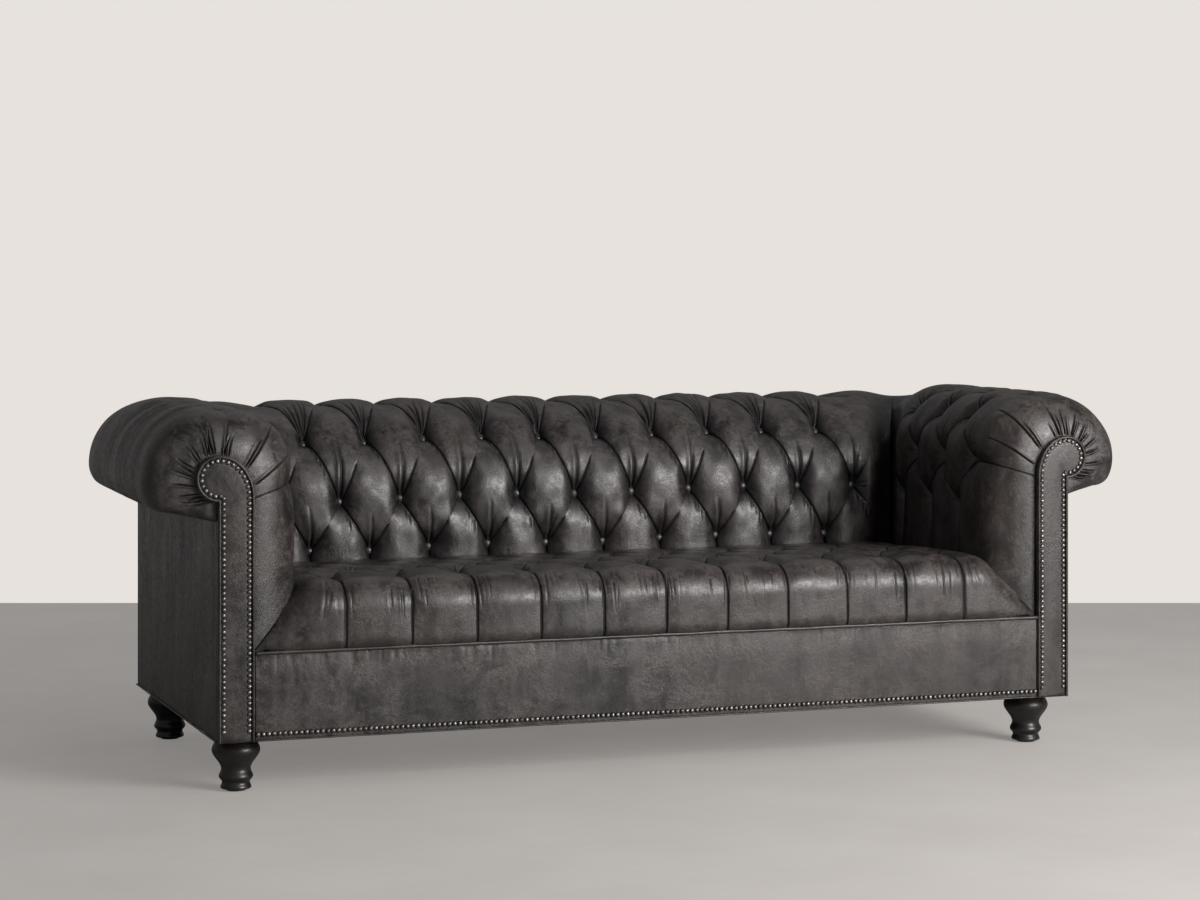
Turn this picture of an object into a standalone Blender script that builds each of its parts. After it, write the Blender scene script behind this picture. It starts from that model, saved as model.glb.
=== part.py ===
"""A three-seat chesterfield sofa, built piece by piece as an upholsterer builds it.

A hardwood frame stands on four turned legs and carries webbing, hessian and foam.
Deep-buttoned leather covers, flat outside panels, welts and nail trim close it.
Sizes are in metres. X runs along the sofa, Y from front to back, Z is up.
The sizes in Y below are measured from the plane of the arm facings.
"""

import math

import bmesh
import bpy
import numpy as np

# Body
BODY_WIDTH = 1.940
LEG_HEIGHT = 0.112
APRON_HEIGHT = 0.1785
APRON_THICKNESS = 0.010
PANEL_THICKNESS = 0.008
GAP = 0.0003

# Arms
ARM_TOP = 0.787
ARM_THICKNESS = 0.175
ARM_ROLL_RADIUS = 0.145
ARM_OVERHANG = 0.140
NOSE_DEPTH = 0.090

# Back
BACK_DROP = 0.024
BACK_THICKNESS = 0.310
BACK_ROLL_RADIUS = 0.136
BACK_OVERHANG = 0.064
BACK_SLOPE_RISE = 0.213
CORNER_RADIUS = 0.250

# Both rolls
LIP_RADIUS = 0.038
LIP_ANGLE = math.radians(-22)

# Seat
SEAT_DEPTH = 0.562
SEAT_TOP = 0.433
SEAT_DROP = 0.021
SEAT_BULGE = 0.012
SEAT_EDGE_RADIUS = 0.060
SEAT_HEM_RADIUS = 0.018

# Arm facings: a post with a scrolled head
FACING_WIDTH = 0.0755
FACING_THICKNESS = 0.010
FACING_HEAD_DROP = 0.0895
FACING_SHOULDER = 0.0875
HEAD_RADIUS = 0.0475

# Buttoning
BUTTON_PITCH = 0.141
ARM_PITCH = 0.145
ARM_FIRST_BUTTON = 0.145
TUFT_DEPTH = 0.036
SEAT_TUFT_DEPTH = 0.028
PLEAT_RISE = 0.48
BACK_LOW_ROW = 0.032
ARM_LOW_ROW = 0.097
ARM_MIDDLE_ROW = 0.205
SEAT_FIRST_ROW = 0.135
SEAT_ROW_PITCH = 0.115
SEAT_ROWS = 4

# Trim
WELT_RADIUS = 0.004
FACING_WELT_RADIUS = 0.003
TRIM_WIDTH = 0.010
TRIM_HEIGHT = 0.004
TRIM_INSET = 0.010

# Frame
RAIL_THICKNESS = 0.035
POST_THICKNESS = 0.035
LINER_THICKNESS = 0.025
LINER_HEIGHT = 0.045
TOP_RAIL_HEIGHT = 0.060
REAR_POST_WIDTH = 0.070
REAR_POST_DEPTH = 0.064
ARM_PAD = 0.085
BACK_PAD = 0.083
ROLL_PAD = 0.107
UPRIGHT_WIDTH = 0.050
STRETCHER_WIDTH = 0.045
STRETCHER_SPACING = 0.640
STRETCHER_HEIGHT = 0.090

# Suspension and filling
CLOTH = 0.0012
WEB_THICKNESS = 0.0015
WEB_WIDTH = 0.070
WEB_COLUMNS = 8
WEB_ROWS = 4
SEAT_FOAM_HEIGHT = 0.050
FOAM_MARGIN = 0.045

# Legs
LEG_SIDE_INSET = 0.057
LEG_END_INSET = 0.091
LEG_BULB_RADIUS = 0.050
LEG_TOP_RADIUS = 0.041
LEG_NECK_RADIUS = 0.0305
LEG_BEAD_RADIUS = 0.0355
LEG_FOOT_RADIUS = 0.032
GLIDE_RADIUS = 0.020
GLIDE_HEIGHT = 0.003
BOLT_RADIUS = 0.005
BOLT_IN_LEG = 0.045
BOLT_IN_BLOCK = 0.040
BLOCK_HEIGHT = 0.045
BLOCK_SIDE = 0.100

# How the pleats behave, in half diamonds unless a length
PLEAT_FADE = 0.9
ROLL_FADE = 0.35
FRONT_FADE = 1.0
SEAM_REACH = 0.35
SEAM_LEVEL = 0.5
CORNER_MARGIN = 0.0195
BACK_MIDDLE_SHARE = 0.235
BACK_UPPER_SHARE = 0.66
ARM_UPPER_SHARE = 0.56
SEAT_SIDE_DROP = 0.018
SEAT_CLEARANCE = 0.0024

# Small fits
FACING_INSET = 0.004
PANEL_TUCK = 0.020
CUT_MARGIN = 0.020
SHY = 0.0002
LINER_LIFT = 0.012
STRETCHER_DROP = 0.020
WEB_INSET = 0.006
DUST_INSET = 0.022

# Heights on the leg, as shares of it
LEG_BULB_SHARE = 0.765
LEG_NECK_SHARE = 0.405
LEG_BEAD_SHARE = 0.265
LEG_GROOVE_SHARE = 0.160
LEG_FOOT_SHARE = 0.065
LEG_GROOVE_RADIUS = 0.0287

# How finely the covers are drawn
CELL_STEPS = 4
TURN_STEPS = 16

SIDES = ((-1, "left"), (1, "right"))

# Sizes worked out from the ones above
HALF_WIDTH = BODY_WIDTH / 2
BODY_DEPTH = SEAT_DEPTH + BACK_THICKNESS
ARM_FACE = HALF_WIDTH - ARM_THICKNESS
ARM_REACH = HALF_WIDTH + ARM_OVERHANG
BACK_REACH = BODY_DEPTH + BACK_OVERHANG
BACK_TOP = ARM_TOP - BACK_DROP
BACK_SLOPE_START = BACK_TOP - BACK_SLOPE_RISE
CORNER_X = ARM_REACH - CORNER_RADIUS
CORNER_Y = BACK_REACH - CORNER_RADIUS
ARM_ROLL_Z = ARM_TOP - ARM_ROLL_RADIUS
BACK_ROLL_Z = BACK_TOP - BACK_ROLL_RADIUS
BACK_ROLL_Y = BACK_REACH - BACK_ROLL_RADIUS
BODY_BOTTOM = LEG_HEIGHT
APRON_TOP = BODY_BOTTOM + APRON_HEIGHT
COVER_BOTTOM = APRON_TOP + WEB_THICKNESS + CLOTH + 3 * GAP
FACING_INNER = HALF_WIDTH - FACING_WIDTH
FACING_HEAD_TOP = ARM_TOP - FACING_HEAD_DROP
FACING_INNER_SPRING = FACING_HEAD_TOP - FACING_SHOULDER
HEAD_Z = FACING_HEAD_TOP - HEAD_RADIUS
HEAD_X = HALF_WIDTH - 0.002
NOSE_FRONT = FACING_THICKNESS + GAP
POST_BACK = NOSE_FRONT + POST_THICKNESS
RAIL_FRONT = max(APRON_THICKNESS, FACING_THICKNESS) + GAP
PANEL_INSIDE = HALF_WIDTH - PANEL_THICKNESS - GAP
PANEL_FRONT = BODY_DEPTH - PANEL_THICKNESS - GAP
ARM_CAVITY = ARM_FACE + ARM_PAD
BACK_CAVITY = SEAT_DEPTH + BACK_PAD
ARM_CAVITY_TOP = ARM_TOP - ROLL_PAD
BACK_CAVITY_TOP = BACK_TOP - ROLL_PAD
ARM_RAIL_INSIDE = ARM_CAVITY + CLOTH + 2 * GAP
BACK_RAIL_FRONT = BACK_CAVITY + CLOTH + 2 * GAP
REAR_POST_FRONT = PANEL_FRONT - REAR_POST_DEPTH
REAR_POST_INSIDE = PANEL_INSIDE - REAR_POST_WIDTH
MIDDLE_Y = (BACK_REACH - SEAT_BULGE) / 2
MITRE_X = CORNER_X - ARM_FACE
MITRE_Y = CORNER_Y - SEAT_DEPTH
MITRE_ANGLE = math.atan2(MITRE_Y, MITRE_X)

leather = None
parts = bpy.data.collections.new("chesterfield_sofa")
cutters = bpy.data.collections.new("cutters")


def clear_scene():
    for obj in list(bpy.data.objects):
        bpy.data.objects.remove(obj, do_unlink=True)
    bpy.context.scene.collection.children.link(parts)
    bpy.context.scene.collection.children.link(cutters)


def material(name, colour, roughness, metallic=0.0):
    made = bpy.data.materials.new(name)
    made.use_nodes = True
    shader = made.node_tree.nodes["Principled BSDF"]
    shader.inputs["Base Color"].default_value = (*colour, 1.0)
    shader.inputs["Roughness"].default_value = roughness
    shader.inputs["Metallic"].default_value = metallic
    made.diffuse_color = (*colour, 1.0)
    return made


def make_object(name, mesh, finish, collection=None):
    """One named piece; every piece hangs from the empty that carries the sofa."""
    obj = bpy.data.objects.new(name, mesh)
    (collection or parts).objects.link(obj)
    obj.data.materials.append(finish)
    obj.parent = sofa
    return obj


def as_cutter(obj):
    for owner in obj.users_collection:
        owner.objects.unlink(obj)
    cutters.objects.link(obj)
    obj.hide_render = True
    obj.display_type = "WIRE"
    return obj


def cut(obj, cutter):
    modifier = obj.modifiers.new("cut_" + cutter.name, "BOOLEAN")
    modifier.operation = "DIFFERENCE"
    modifier.object = cutter
    return obj


def box(name, low, high, finish, rounding=0.0):
    """A block between two corners, with its edges eased where it is timber."""
    shape = bmesh.new()
    bmesh.ops.create_cube(shape, size=1.0)
    low, high = np.array(low), np.array(high)
    for vertex in shape.verts:
        vertex.co = np.array(vertex.co) * (high - low)
    mesh = bpy.data.meshes.new(name)
    shape.to_mesh(mesh)
    shape.free()
    obj = make_object(name, mesh, finish)
    obj.location = (low + high) / 2
    if rounding:
        bevel = obj.modifiers.new("eased_edges", "BEVEL")
        bevel.width = rounding
        bevel.segments = 1
    return obj


def plate(name, outline, thickness, finish, upright=True):
    """A flat board from its outline; upright boards face the front."""
    curve = bpy.data.curves.new(name, "CURVE")
    curve.dimensions = "2D"
    curve.fill_mode = "BOTH"
    curve.extrude = thickness / 2
    spline = curve.splines.new("POLY")
    spline.points.add(len(outline) - 1)
    for point, (across, up) in zip(spline.points, outline):
        point.co = (across, up, 0, 1)
    spline.use_cyclic_u = True
    obj = bpy.data.objects.new(name + "_outline", curve)
    cutters.objects.link(obj)
    if upright:
        obj.rotation_euler.x = math.radians(90)
    bpy.context.view_layer.update()
    evaluated = obj.evaluated_get(bpy.context.evaluated_depsgraph_get())
    mesh = bpy.data.meshes.new_from_object(evaluated)
    mesh.transform(obj.matrix_world)
    bpy.data.objects.remove(obj)
    weld(mesh)
    made = bpy.data.objects.new(name, mesh)
    parts.objects.link(made)
    mesh.materials.clear()
    mesh.materials.append(finish)
    made.parent = sofa
    return made


def weld(mesh, distance=1e-5):
    shape = bmesh.new()
    shape.from_mesh(mesh)
    bmesh.ops.remove_doubles(shape, verts=shape.verts, dist=distance)
    bmesh.ops.dissolve_degenerate(shape, edges=shape.edges, dist=1e-6)
    bmesh.ops.recalc_face_normals(shape, faces=shape.faces)
    shape.to_mesh(mesh)
    shape.free()


def tube(name, points, radius, finish, closed=False, resolution=1):
    """A welt: a round cord along a line of points."""
    curve = bpy.data.curves.new(name, "CURVE")
    curve.dimensions = "3D"
    curve.bevel_depth = radius
    curve.bevel_resolution = resolution
    curve.use_fill_caps = True
    spline = curve.splines.new("POLY")
    spline.points.add(len(points) - 1)
    for point, place in zip(spline.points, points):
        point.co = (*place, 1)
    spline.use_cyclic_u = closed
    return make_object(name, curve, finish)


def turned(name, profile, finish, place, steps=TURN_STEPS):
    """A turned piece: its outline, from top to bottom, screwed round the upright axis."""
    mesh = bpy.data.meshes.new(name)
    verts = [(radius, 0, height) for radius, height in profile]
    mesh.from_pydata(verts, [(i, i + 1) for i in range(len(verts) - 1)], [])
    obj = make_object(name, mesh, finish)
    obj.location = place
    screw = obj.modifiers.new("turning", "SCREW")
    screw.steps = steps
    screw.render_steps = steps
    screw.use_merge_vertices = True
    screw.merge_threshold = 1e-5
    screw.use_smooth_shade = True
    return obj


def arc(centre, radii, start, end, count=24):
    """Points along an arc of a circle or an ellipse, both ends included."""
    angle = np.linspace(start, end, count)
    return np.stack(
        [centre[0] + radii[0] * np.cos(angle), centre[1] + radii[1] * np.sin(angle)], axis=1
    )


def line(start, end, count=24):
    return np.linspace(start, end, count)


class Outline:
    """A cover's outline, as seen along its length, with places read by distance."""

    def __init__(self, sections):
        points = [sections[0]]
        for section in sections[1:]:
            points.append(section[1:])
        self.points = np.concatenate(points)
        steps = np.linalg.norm(np.diff(self.points, axis=0), axis=1)
        self.reach = np.concatenate([[0], np.cumsum(steps)])
        slope = np.gradient(self.points, self.reach, axis=0)
        slope /= np.linalg.norm(slope, axis=1)[:, None]
        self.normal = np.stack([-slope[:, 1], slope[:, 0]], axis=1)

    def at(self, distance):
        return np.stack([np.interp(distance, self.reach, self.points[:, k]) for k in (0, 1)])

    def out(self, distance):
        facing = np.stack([np.interp(distance, self.reach, self.normal[:, k]) for k in (0, 1)])
        return facing / np.linalg.norm(facing, axis=0)

    def where(self, axis, value):
        """The first distance at which one coordinate climbs to a value."""
        return self.reach[int(np.argmax(self.points[:, axis] >= value))]

    def where_falls(self, axis, value):
        """The first distance at which one coordinate falls to a value."""
        return self.reach[int(np.argmax(self.points[:, axis] <= value))]


    def tuck_start(self):
        """Where the cover lies flat under its roll, on its way to the outside panel."""
        level = np.abs(self.points[:, 1] - self.points[-1, 1]) < 1e-6
        return self.reach[np.flatnonzero(level & (self.reach > self.reach[-1] / 2))[0]]


def underside(centre, radius):
    """Where a roll turns under: the centre of the small lip arc."""
    drop = radius - LIP_RADIUS
    return (centre[0] + drop * math.cos(LIP_ANGLE), centre[1] + drop * math.sin(LIP_ANGLE))


def arm_outline():
    """The arm from the seat, up its inside, over the roll and under it to the outside panel."""
    inner = (ARM_FACE + ARM_ROLL_RADIUS, ARM_ROLL_Z)
    outer = (ARM_REACH - ARM_ROLL_RADIUS, ARM_ROLL_Z)
    lip = underside(outer, ARM_ROLL_RADIUS)
    tuck = lip[1] - LIP_RADIUS
    round_both = (ARM_ROLL_RADIUS, ARM_ROLL_RADIUS)
    return Outline(
        [
            line((ARM_FACE, COVER_BOTTOM), (ARM_FACE, ARM_ROLL_Z)),
            arc(inner, round_both, math.pi, math.pi / 2),
            line((inner[0], ARM_TOP), (outer[0], ARM_TOP), 4),
            arc(outer, round_both, math.pi / 2, LIP_ANGLE, 36),
            arc(lip, (LIP_RADIUS, LIP_RADIUS), LIP_ANGLE, -math.pi / 2, 12),
            line((lip[0], tuck), (HALF_WIDTH, tuck), 12),
            line((HALF_WIDTH, tuck), (HALF_WIDTH - PANEL_THICKNESS / 2, tuck), 2),
        ]
    )


def facing_outline(inset=0.0, foot=BODY_BOTTOM):
    """The facing's edge from its foot, up the inner side, round the head and down the outer side."""
    head = (HEAD_X, HEAD_Z)
    spring = FACING_HEAD_TOP - FACING_INNER_SPRING
    radius = HEAD_RADIUS - inset
    notch = -math.acos(min(1.0, (HALF_WIDTH - inset - HEAD_X) / radius))
    inner = (HEAD_X, FACING_INNER_SPRING)
    inner_radii = (HEAD_X - FACING_INNER - inset, spring - inset)
    return [
        line((FACING_INNER + inset, foot), (FACING_INNER + inset, FACING_INNER_SPRING)),
        arc(inner, inner_radii, math.pi, math.pi / 2),
        arc(head, (radius, radius), math.pi / 2, math.radians(-45), 36),
        arc(head, (radius, radius), math.radians(-45), notch, 12),
        line((HALF_WIDTH - inset, HEAD_Z + radius * math.sin(notch)), (HALF_WIDTH - inset, foot)),
    ]


def nose_outline(outline):
    """The edge on which the arm's cover is tacked, read at the same distances as its outline."""
    tuck = outline.points[-1][1]
    side, shoulder, head, under, _ = facing_outline(foot=COVER_BOTTOM)
    shoulder = resample(shoulder, 24 + 3)
    end = line((HALF_WIDTH, under[-1][1]), (HALF_WIDTH, tuck), 12)
    last = line((HALF_WIDTH, tuck), (HALF_WIDTH - PANEL_THICKNESS / 2, tuck), 2)
    return np.concatenate([side, shoulder[1:], head[1:], under[1:], end[1:], last[1:]])


def resample(points, count):
    steps = np.linalg.norm(np.diff(points, axis=0), axis=1)
    reach = np.concatenate([[0], np.cumsum(steps)])
    places = np.linspace(0, reach[-1], count)
    return np.stack([np.interp(places, reach, points[:, k]) for k in (0, 1)], axis=1)


def back_outline():
    """The back from the seat, up its inside, over the roll and under it to the outside panel."""
    centre = (BACK_ROLL_Y, BACK_ROLL_Z)
    slope = (BACK_ROLL_Y - SEAT_DEPTH, BACK_TOP - BACK_SLOPE_START)
    lip = underside(centre, BACK_ROLL_RADIUS)
    tuck = lip[1] - LIP_RADIUS
    round_both = (BACK_ROLL_RADIUS, BACK_ROLL_RADIUS)
    return Outline(
        [
            line((SEAT_DEPTH, COVER_BOTTOM), (SEAT_DEPTH, BACK_SLOPE_START)),
            arc((BACK_ROLL_Y, BACK_SLOPE_START), slope, math.pi, math.pi / 2, 36),
            arc(centre, round_both, math.pi / 2, LIP_ANGLE, 36),
            arc(lip, (LIP_RADIUS, LIP_RADIUS), LIP_ANGLE, -math.pi / 2, 12),
            line((lip[0], tuck), (BODY_DEPTH - PANEL_THICKNESS / 2, tuck), 12),
        ]
    )


def seat_outline():
    """The seat from the back, forward over its top, round the front edge and down to the welt."""
    rear = SEAT_TOP - SEAT_DROP
    front = -SEAT_BULGE
    edge = (front + SEAT_EDGE_RADIUS, SEAT_TOP - SEAT_EDGE_RADIUS)
    hem = (front + SEAT_HEM_RADIUS, COVER_BOTTOM + SEAT_HEM_RADIUS)
    edge_radii = (SEAT_EDGE_RADIUS, SEAT_EDGE_RADIUS)
    hem_radii = (SEAT_HEM_RADIUS, SEAT_HEM_RADIUS)
    top = line((SEAT_DEPTH - GAP, rear), (edge[0], SEAT_TOP), 30)
    sag = np.linspace(0, 1, 30)
    top[:, 1] = rear + SEAT_DROP * np.sin(sag * math.pi / 2)
    outline = Outline(
        [
            top,
            arc(edge, edge_radii, math.pi / 2, math.pi, 24),
            line((front, edge[1]), (front, hem[1]), 8),
            arc(hem, hem_radii, math.pi, math.radians(250), 10),
        ]
    )
    outline.normal = -outline.normal
    return outline


def spread(steps):
    """Places from -1 to 1, closer together near both ends."""
    return np.sin(np.linspace(-math.pi / 2, math.pi / 2, steps + 1))


def edge_places(steps):
    """Places from -1 to 1 along the two seams that meet at a button."""
    half = (spread(steps) + 1) / 2
    return np.concatenate([half - 1, half[1:]])


def bump(across, hold):
    """Height over a puff: 1 half-way between two pleats, less towards them by how hard they hold."""
    ridge = np.sqrt(np.maximum(1 - across**4 * hold, 0))
    return PLEAT_RISE * ridge + (1 - PLEAT_RISE) * (1 - across**2 * hold)


class Buttoning:
    """A sheet tufted in diamonds.

    A place on it is a column and a row, both counted in half diamonds, and a button sits
    where column + row + parity is even. Rows run from 0 to last_row. Below and above them
    the pleats run straight on and fade. With an open front they also run on past the first
    column, as on the arms.
    """

    def __init__(self, columns, rows, parity, span, last_row, open_front):
        self.columns = columns
        self.rows = rows
        self.parity = parity
        self.first, self.last = span
        self.last_row = last_row
        self.open_front = open_front
        self.level_ends = [self.last] if open_front else [self.first, self.last]

    def along(self, column):
        return np.interp(column, *zip(*self.columns))

    def across(self, row):
        return np.interp(row, *zip(*self.rows))

    def height(self, column, row):
        """The share of the full tuft depth at each place."""
        shifted = column + self.parity
        a = np.mod(shifted + row, 2) - 1
        b = np.mod(shifted - row, 2) - 1
        ridge = np.sqrt(np.maximum(1 - a**2 * b**2, 0))
        dome = np.sqrt(np.maximum((1 - a**2) * (1 - b**2), 0))
        high = PLEAT_RISE * ridge + (1 - PLEAT_RISE) * dome
        low_side = np.mod(shifted, 2) - 1
        high = np.where(row < 0, bump(low_side, np.exp(row / PLEAT_FADE)), high)
        past = row - self.last_row
        top_side = np.mod(shifted + self.last_row, 2) - 1
        high = np.where(past > 0, bump(top_side, np.exp(-past / ROLL_FADE)), high)
        if self.open_front:
            ahead = self.first - column
            hold = np.exp(-ahead / FRONT_FADE)
            beside = np.where(row < 0, 0, np.mod(self.first + self.parity + row, 2) - 1)
            turn = np.arctan2(np.maximum(past, 0), np.maximum(ahead, 1e-9)) / (math.pi / 4) - 1
            reach = np.hypot(past / ROLL_FADE, ahead / FRONT_FADE)
            front = np.where(past > 0, bump(turn, np.exp(-reach)), bump(beside, hold))
            high = np.where(ahead > 0, front, high)
        for end in self.level_ends:
            near = np.exp(-(((column - end) / SEAM_REACH) ** 2))
            high = high + (SEAM_LEVEL - high) * near
        return high

    def is_button(self, column, row):
        return (column + row + self.parity) % 2 == 0

    def cells(self, steps, below, above, ahead=()):
        """Grids of (column, row) that cover the sheet, with every seam on a grid line."""
        grids = []
        edge = edge_places(steps)
        for column in range(self.first, self.last + 1):
            at_end = column in (self.first, self.last)
            if column == self.first and self.open_front:
                continue
            side = {self.first: edge[steps:], self.last: edge[: steps + 1]}.get(column, edge)
            for row in range(0, self.last_row + 1):
                if self.is_button(column, row):
                    continue
                if row == 0:
                    stops = [1 - np.abs(side)] + [np.full(len(side), stop) for stop in below]
                    grids.append((column + side + 0 * np.array(stops), np.array(stops)))
                elif row == self.last_row:
                    stops = [abs(side) - 1] + [np.full(len(side), stop) for stop in above]
                    stops = row + np.array(stops)
                    grids.append((column + side + 0 * stops, stops))
                elif at_end:
                    inward = 1 if column == self.first else -1
                    share = np.array([0, 0.5, 1])[:, None]
                    wide = column + inward * share * (1 - np.abs(edge))
                    grids.append((wide, row + edge + 0 * wide))
                else:
                    a, b = np.meshgrid(spread(steps), spread(steps))
                    grids.append((column + (a + b) / 2, row + (a - b) / 2))
        if self.open_front:
            grids.append(self.front_grid(steps, below, above, ahead))
        return grids

    def front_grid(self, steps, below, above, ahead):
        """The plain leather ahead of the first column, joined to the zigzag of its seams."""
        rows = [np.array(below[::-1])]
        columns = [np.full(len(below), self.first + 1.0)]
        rise = (spread(steps) + 1) / 2
        for row in range(self.last_row):
            on_first = self.is_button(self.first, row)
            rows.append(row + rise[:-1])
            columns.append(self.first + (rise[:-1] if on_first else 1 - rise[:-1]))
        rows.append(self.last_row + np.concatenate([[0], above]))
        columns.append(np.full(len(above) + 1, float(self.first)))
        rows = np.concatenate(rows)
        columns = np.concatenate(columns)
        stops = [columns] + [np.full(len(rows), stop) for stop in ahead]
        return np.array(stops), rows + 0 * np.array(stops)


def join_grids(grids):
    """One list of places and faces from many grids, with shared places made one."""
    places, quads, count = [], [], 0
    for column, row in grids:
        high, wide = column.shape
        index = count + np.arange(high * wide).reshape(high, wide)
        corners = (index[:-1, :-1], index[:-1, 1:], index[1:, 1:], index[1:, :-1])
        quads.append(np.stack([corner.ravel() for corner in corners], axis=1))
        places.append(np.stack([column.ravel(), row.ravel()], axis=1))
        count += high * wide
    places = np.round(np.concatenate(places), 6)
    places, same = np.unique(places, axis=0, return_inverse=True)
    quads = same.reshape(-1)[np.concatenate(quads)]
    faces = [list(dict.fromkeys(quad)) for quad in quads.tolist()]
    return places, [face for face in faces if len(face) > 2]


def ordered(places, axis, value, by):
    """The places on one edge of a sheet, in order."""
    found = np.flatnonzero(np.abs(places[:, axis] - value) < 1e-5)
    return found[np.argsort(places[found, by])].tolist()


def closed_cover(name, sheet, grids, place, ends_drop=False):
    """The tufted skin made a solid: its loose edges drop to the seat deck and are closed."""
    places, faces = join_grids(grids)
    column, row = places.T
    points = place(sheet.along(column), sheet.across(row), sheet.height(column, row), column)
    low_row, high_row = row.min(), row.max()
    first, last = column.min(), column.max()
    near = ordered(places, 1, low_row, 0)
    far = ordered(places, 1, high_row, 0)
    front = ordered(places, 0, first, 1)
    rear = ordered(places, 0, last, 1)
    chain = far
    if ends_drop:
        chain = rear[::-1][:-1] + near[::-1] + front[1:]
    start = len(points)
    low = points[chain].copy()
    low[:, 2] = COVER_BOTTOM
    points = np.concatenate([points, low])
    low_chain = list(range(start, start + len(chain)))
    pairs = list(zip(chain, low_chain))
    faces += [[a, b, d, c] for (a, b), (c, d) in zip(pairs, pairs[1:])]
    if ends_drop:
        faces.append(low_chain)
        faces.append(far + [low_chain[0], low_chain[-1]])
    else:
        faces.append(front + [low_chain[0]])
        faces.append(rear + [low_chain[-1]])
        faces.append(near + low_chain[::-1])
    mesh = bpy.data.meshes.new(name)
    mesh.from_pydata(points.tolist(), [], [[int(i) for i in face] for face in faces])
    weld(mesh)
    mesh.shade_smooth()
    return make_object(name, mesh, leather)


def mirrored(obj, name, finish):
    """The same piece on the other side of the sofa."""
    mesh = obj.data.copy()
    flip = np.empty(len(mesh.vertices) * 3)
    mesh.vertices.foreach_get("co", flip)
    flip[0::3] *= -1
    mesh.vertices.foreach_set("co", flip)
    mesh.flip_normals()
    mesh.materials.clear()
    made = make_object(name, mesh, finish)
    made.location = (-obj.location.x, obj.location.y, obj.location.z)
    return made


def meeting(outline, crest, other, other_crest):
    """The other cover's outline, read at the same shares of the girth as one's own."""
    own_marks = [0, crest, outline.tuck_start(), outline.reach[-1]]
    other_marks = [0, other_crest, other.tuck_start(), other.reach[-1]]

    def read(across):
        held = np.interp(across, own_marks[2:], [1, 0])
        return *other.at(np.interp(across, own_marks, other_marks)), held

    return read


def smooth(share):
    return share * share * (3 - 2 * share)


def arm_places(sheet, outline):
    """Where a place on the right arm's cover lies: along the arm, round its nose and its corner."""
    nose = nose_outline(outline)
    back = back_outline()
    crest = outline.where(1, ARM_TOP - 1e-5)
    seam = meeting(outline, crest, back, back.where(1, BACK_TOP - 1e-5))
    nose_start = NOSE_FRONT + NOSE_DEPTH
    front = sheet.columns[0][1]
    bend = sheet.columns[-2][1]
    end = sheet.columns[-1][1]

    def place(along, across, high, column):
        del column
        lift = (high - 1) * TUFT_DEPTH
        x, z = outline.at(across) + outline.out(across) * lift
        turn = np.clip((nose_start - along) / (nose_start - front), 0, 1) * math.pi / 2
        edge_x = np.interp(across, outline.reach, nose[:, 0])
        edge_z = np.interp(across, outline.reach, nose[:, 1])
        share = np.clip((along - bend) / (end - bend), 0, 1)
        own_x, own_z = outline.at(across)
        seam_y, seam_z, held = seam(across)
        seam_x = seam_y - CORNER_Y
        seam_x = CORNER_X + seam_x * np.where(seam_x < 0, MITRE_X / MITRE_Y, 1)
        x = x + smooth(share) / 2 * (seam_x - own_x) * held
        z = z + smooth(share) / 2 * (seam_z - own_z)
        offset = x - CORNER_X
        straight = CORNER_Y + np.minimum(offset, 0) * MITRE_Y / MITRE_X - bend
        sweep = np.maximum(offset, 0) * MITRE_ANGLE
        back_off = GAP / np.where(offset < 0, math.cos(MITRE_ANGLE), 1)
        run = share * (straight + sweep - back_off)
        curl = np.maximum(run - straight, 0) / np.maximum(offset, 1e-6)
        y = np.minimum(along, bend) + np.minimum(run, straight)
        x = np.where(curl > 0, CORNER_X + offset * np.cos(curl), x)
        y = np.where(curl > 0, CORNER_Y + offset * np.sin(curl), y)
        x = edge_x + (x - edge_x) * np.cos(turn)
        z = edge_z + (z - edge_z) * np.cos(turn)
        y = np.where(turn > 0, nose_start - NOSE_DEPTH * np.sin(turn), y)
        return np.stack([x, y, z], axis=1)

    return place


def back_places(sheet, outline):
    """Where a place on the back's cover lies: along the back and round to its two mitres."""
    bend = sheet.columns[-2][1]
    end = sheet.columns[-1][1]
    angle = math.pi / 2 - MITRE_ANGLE
    arm = arm_outline()
    crest = outline.where(1, BACK_TOP - 1e-5)
    seam = meeting(outline, crest, arm, arm.where(1, ARM_TOP - 1e-5))

    def place(along, across, high, column):
        del column
        y, z = outline.at(across) + outline.out(across) * (high - 1) * TUFT_DEPTH
        side = np.sign(along)
        away = np.abs(along)
        share = np.clip((away - bend) / (end - bend), 0, 1)
        own_y, own_z = outline.at(across)
        seam_x, seam_z, held = seam(across)
        seam_y = seam_x - CORNER_X
        seam_y = CORNER_Y + seam_y * np.where(seam_y < 0, MITRE_Y / MITRE_X, 1)
        y = y + smooth(share) / 2 * (seam_y - own_y) * held
        z = z + smooth(share) / 2 * (seam_z - own_z)
        offset = y - CORNER_Y
        straight = CORNER_X + np.minimum(offset, 0) * MITRE_X / MITRE_Y - bend
        sweep = np.maximum(offset, 0) * angle
        back_off = GAP / np.where(offset < 0, math.sin(MITRE_ANGLE), 1)
        run = share * (straight + sweep - back_off)
        curl = np.maximum(run - straight, 0) / np.maximum(offset, 1e-6)
        x = np.minimum(away, bend) + np.minimum(run, straight)
        x = np.where(curl > 0, CORNER_X + offset * np.sin(curl), x)
        y = np.where(curl > 0, CORNER_Y + offset * np.cos(curl), y)
        return np.stack([side * x, y, z], axis=1)

    return place


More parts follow.
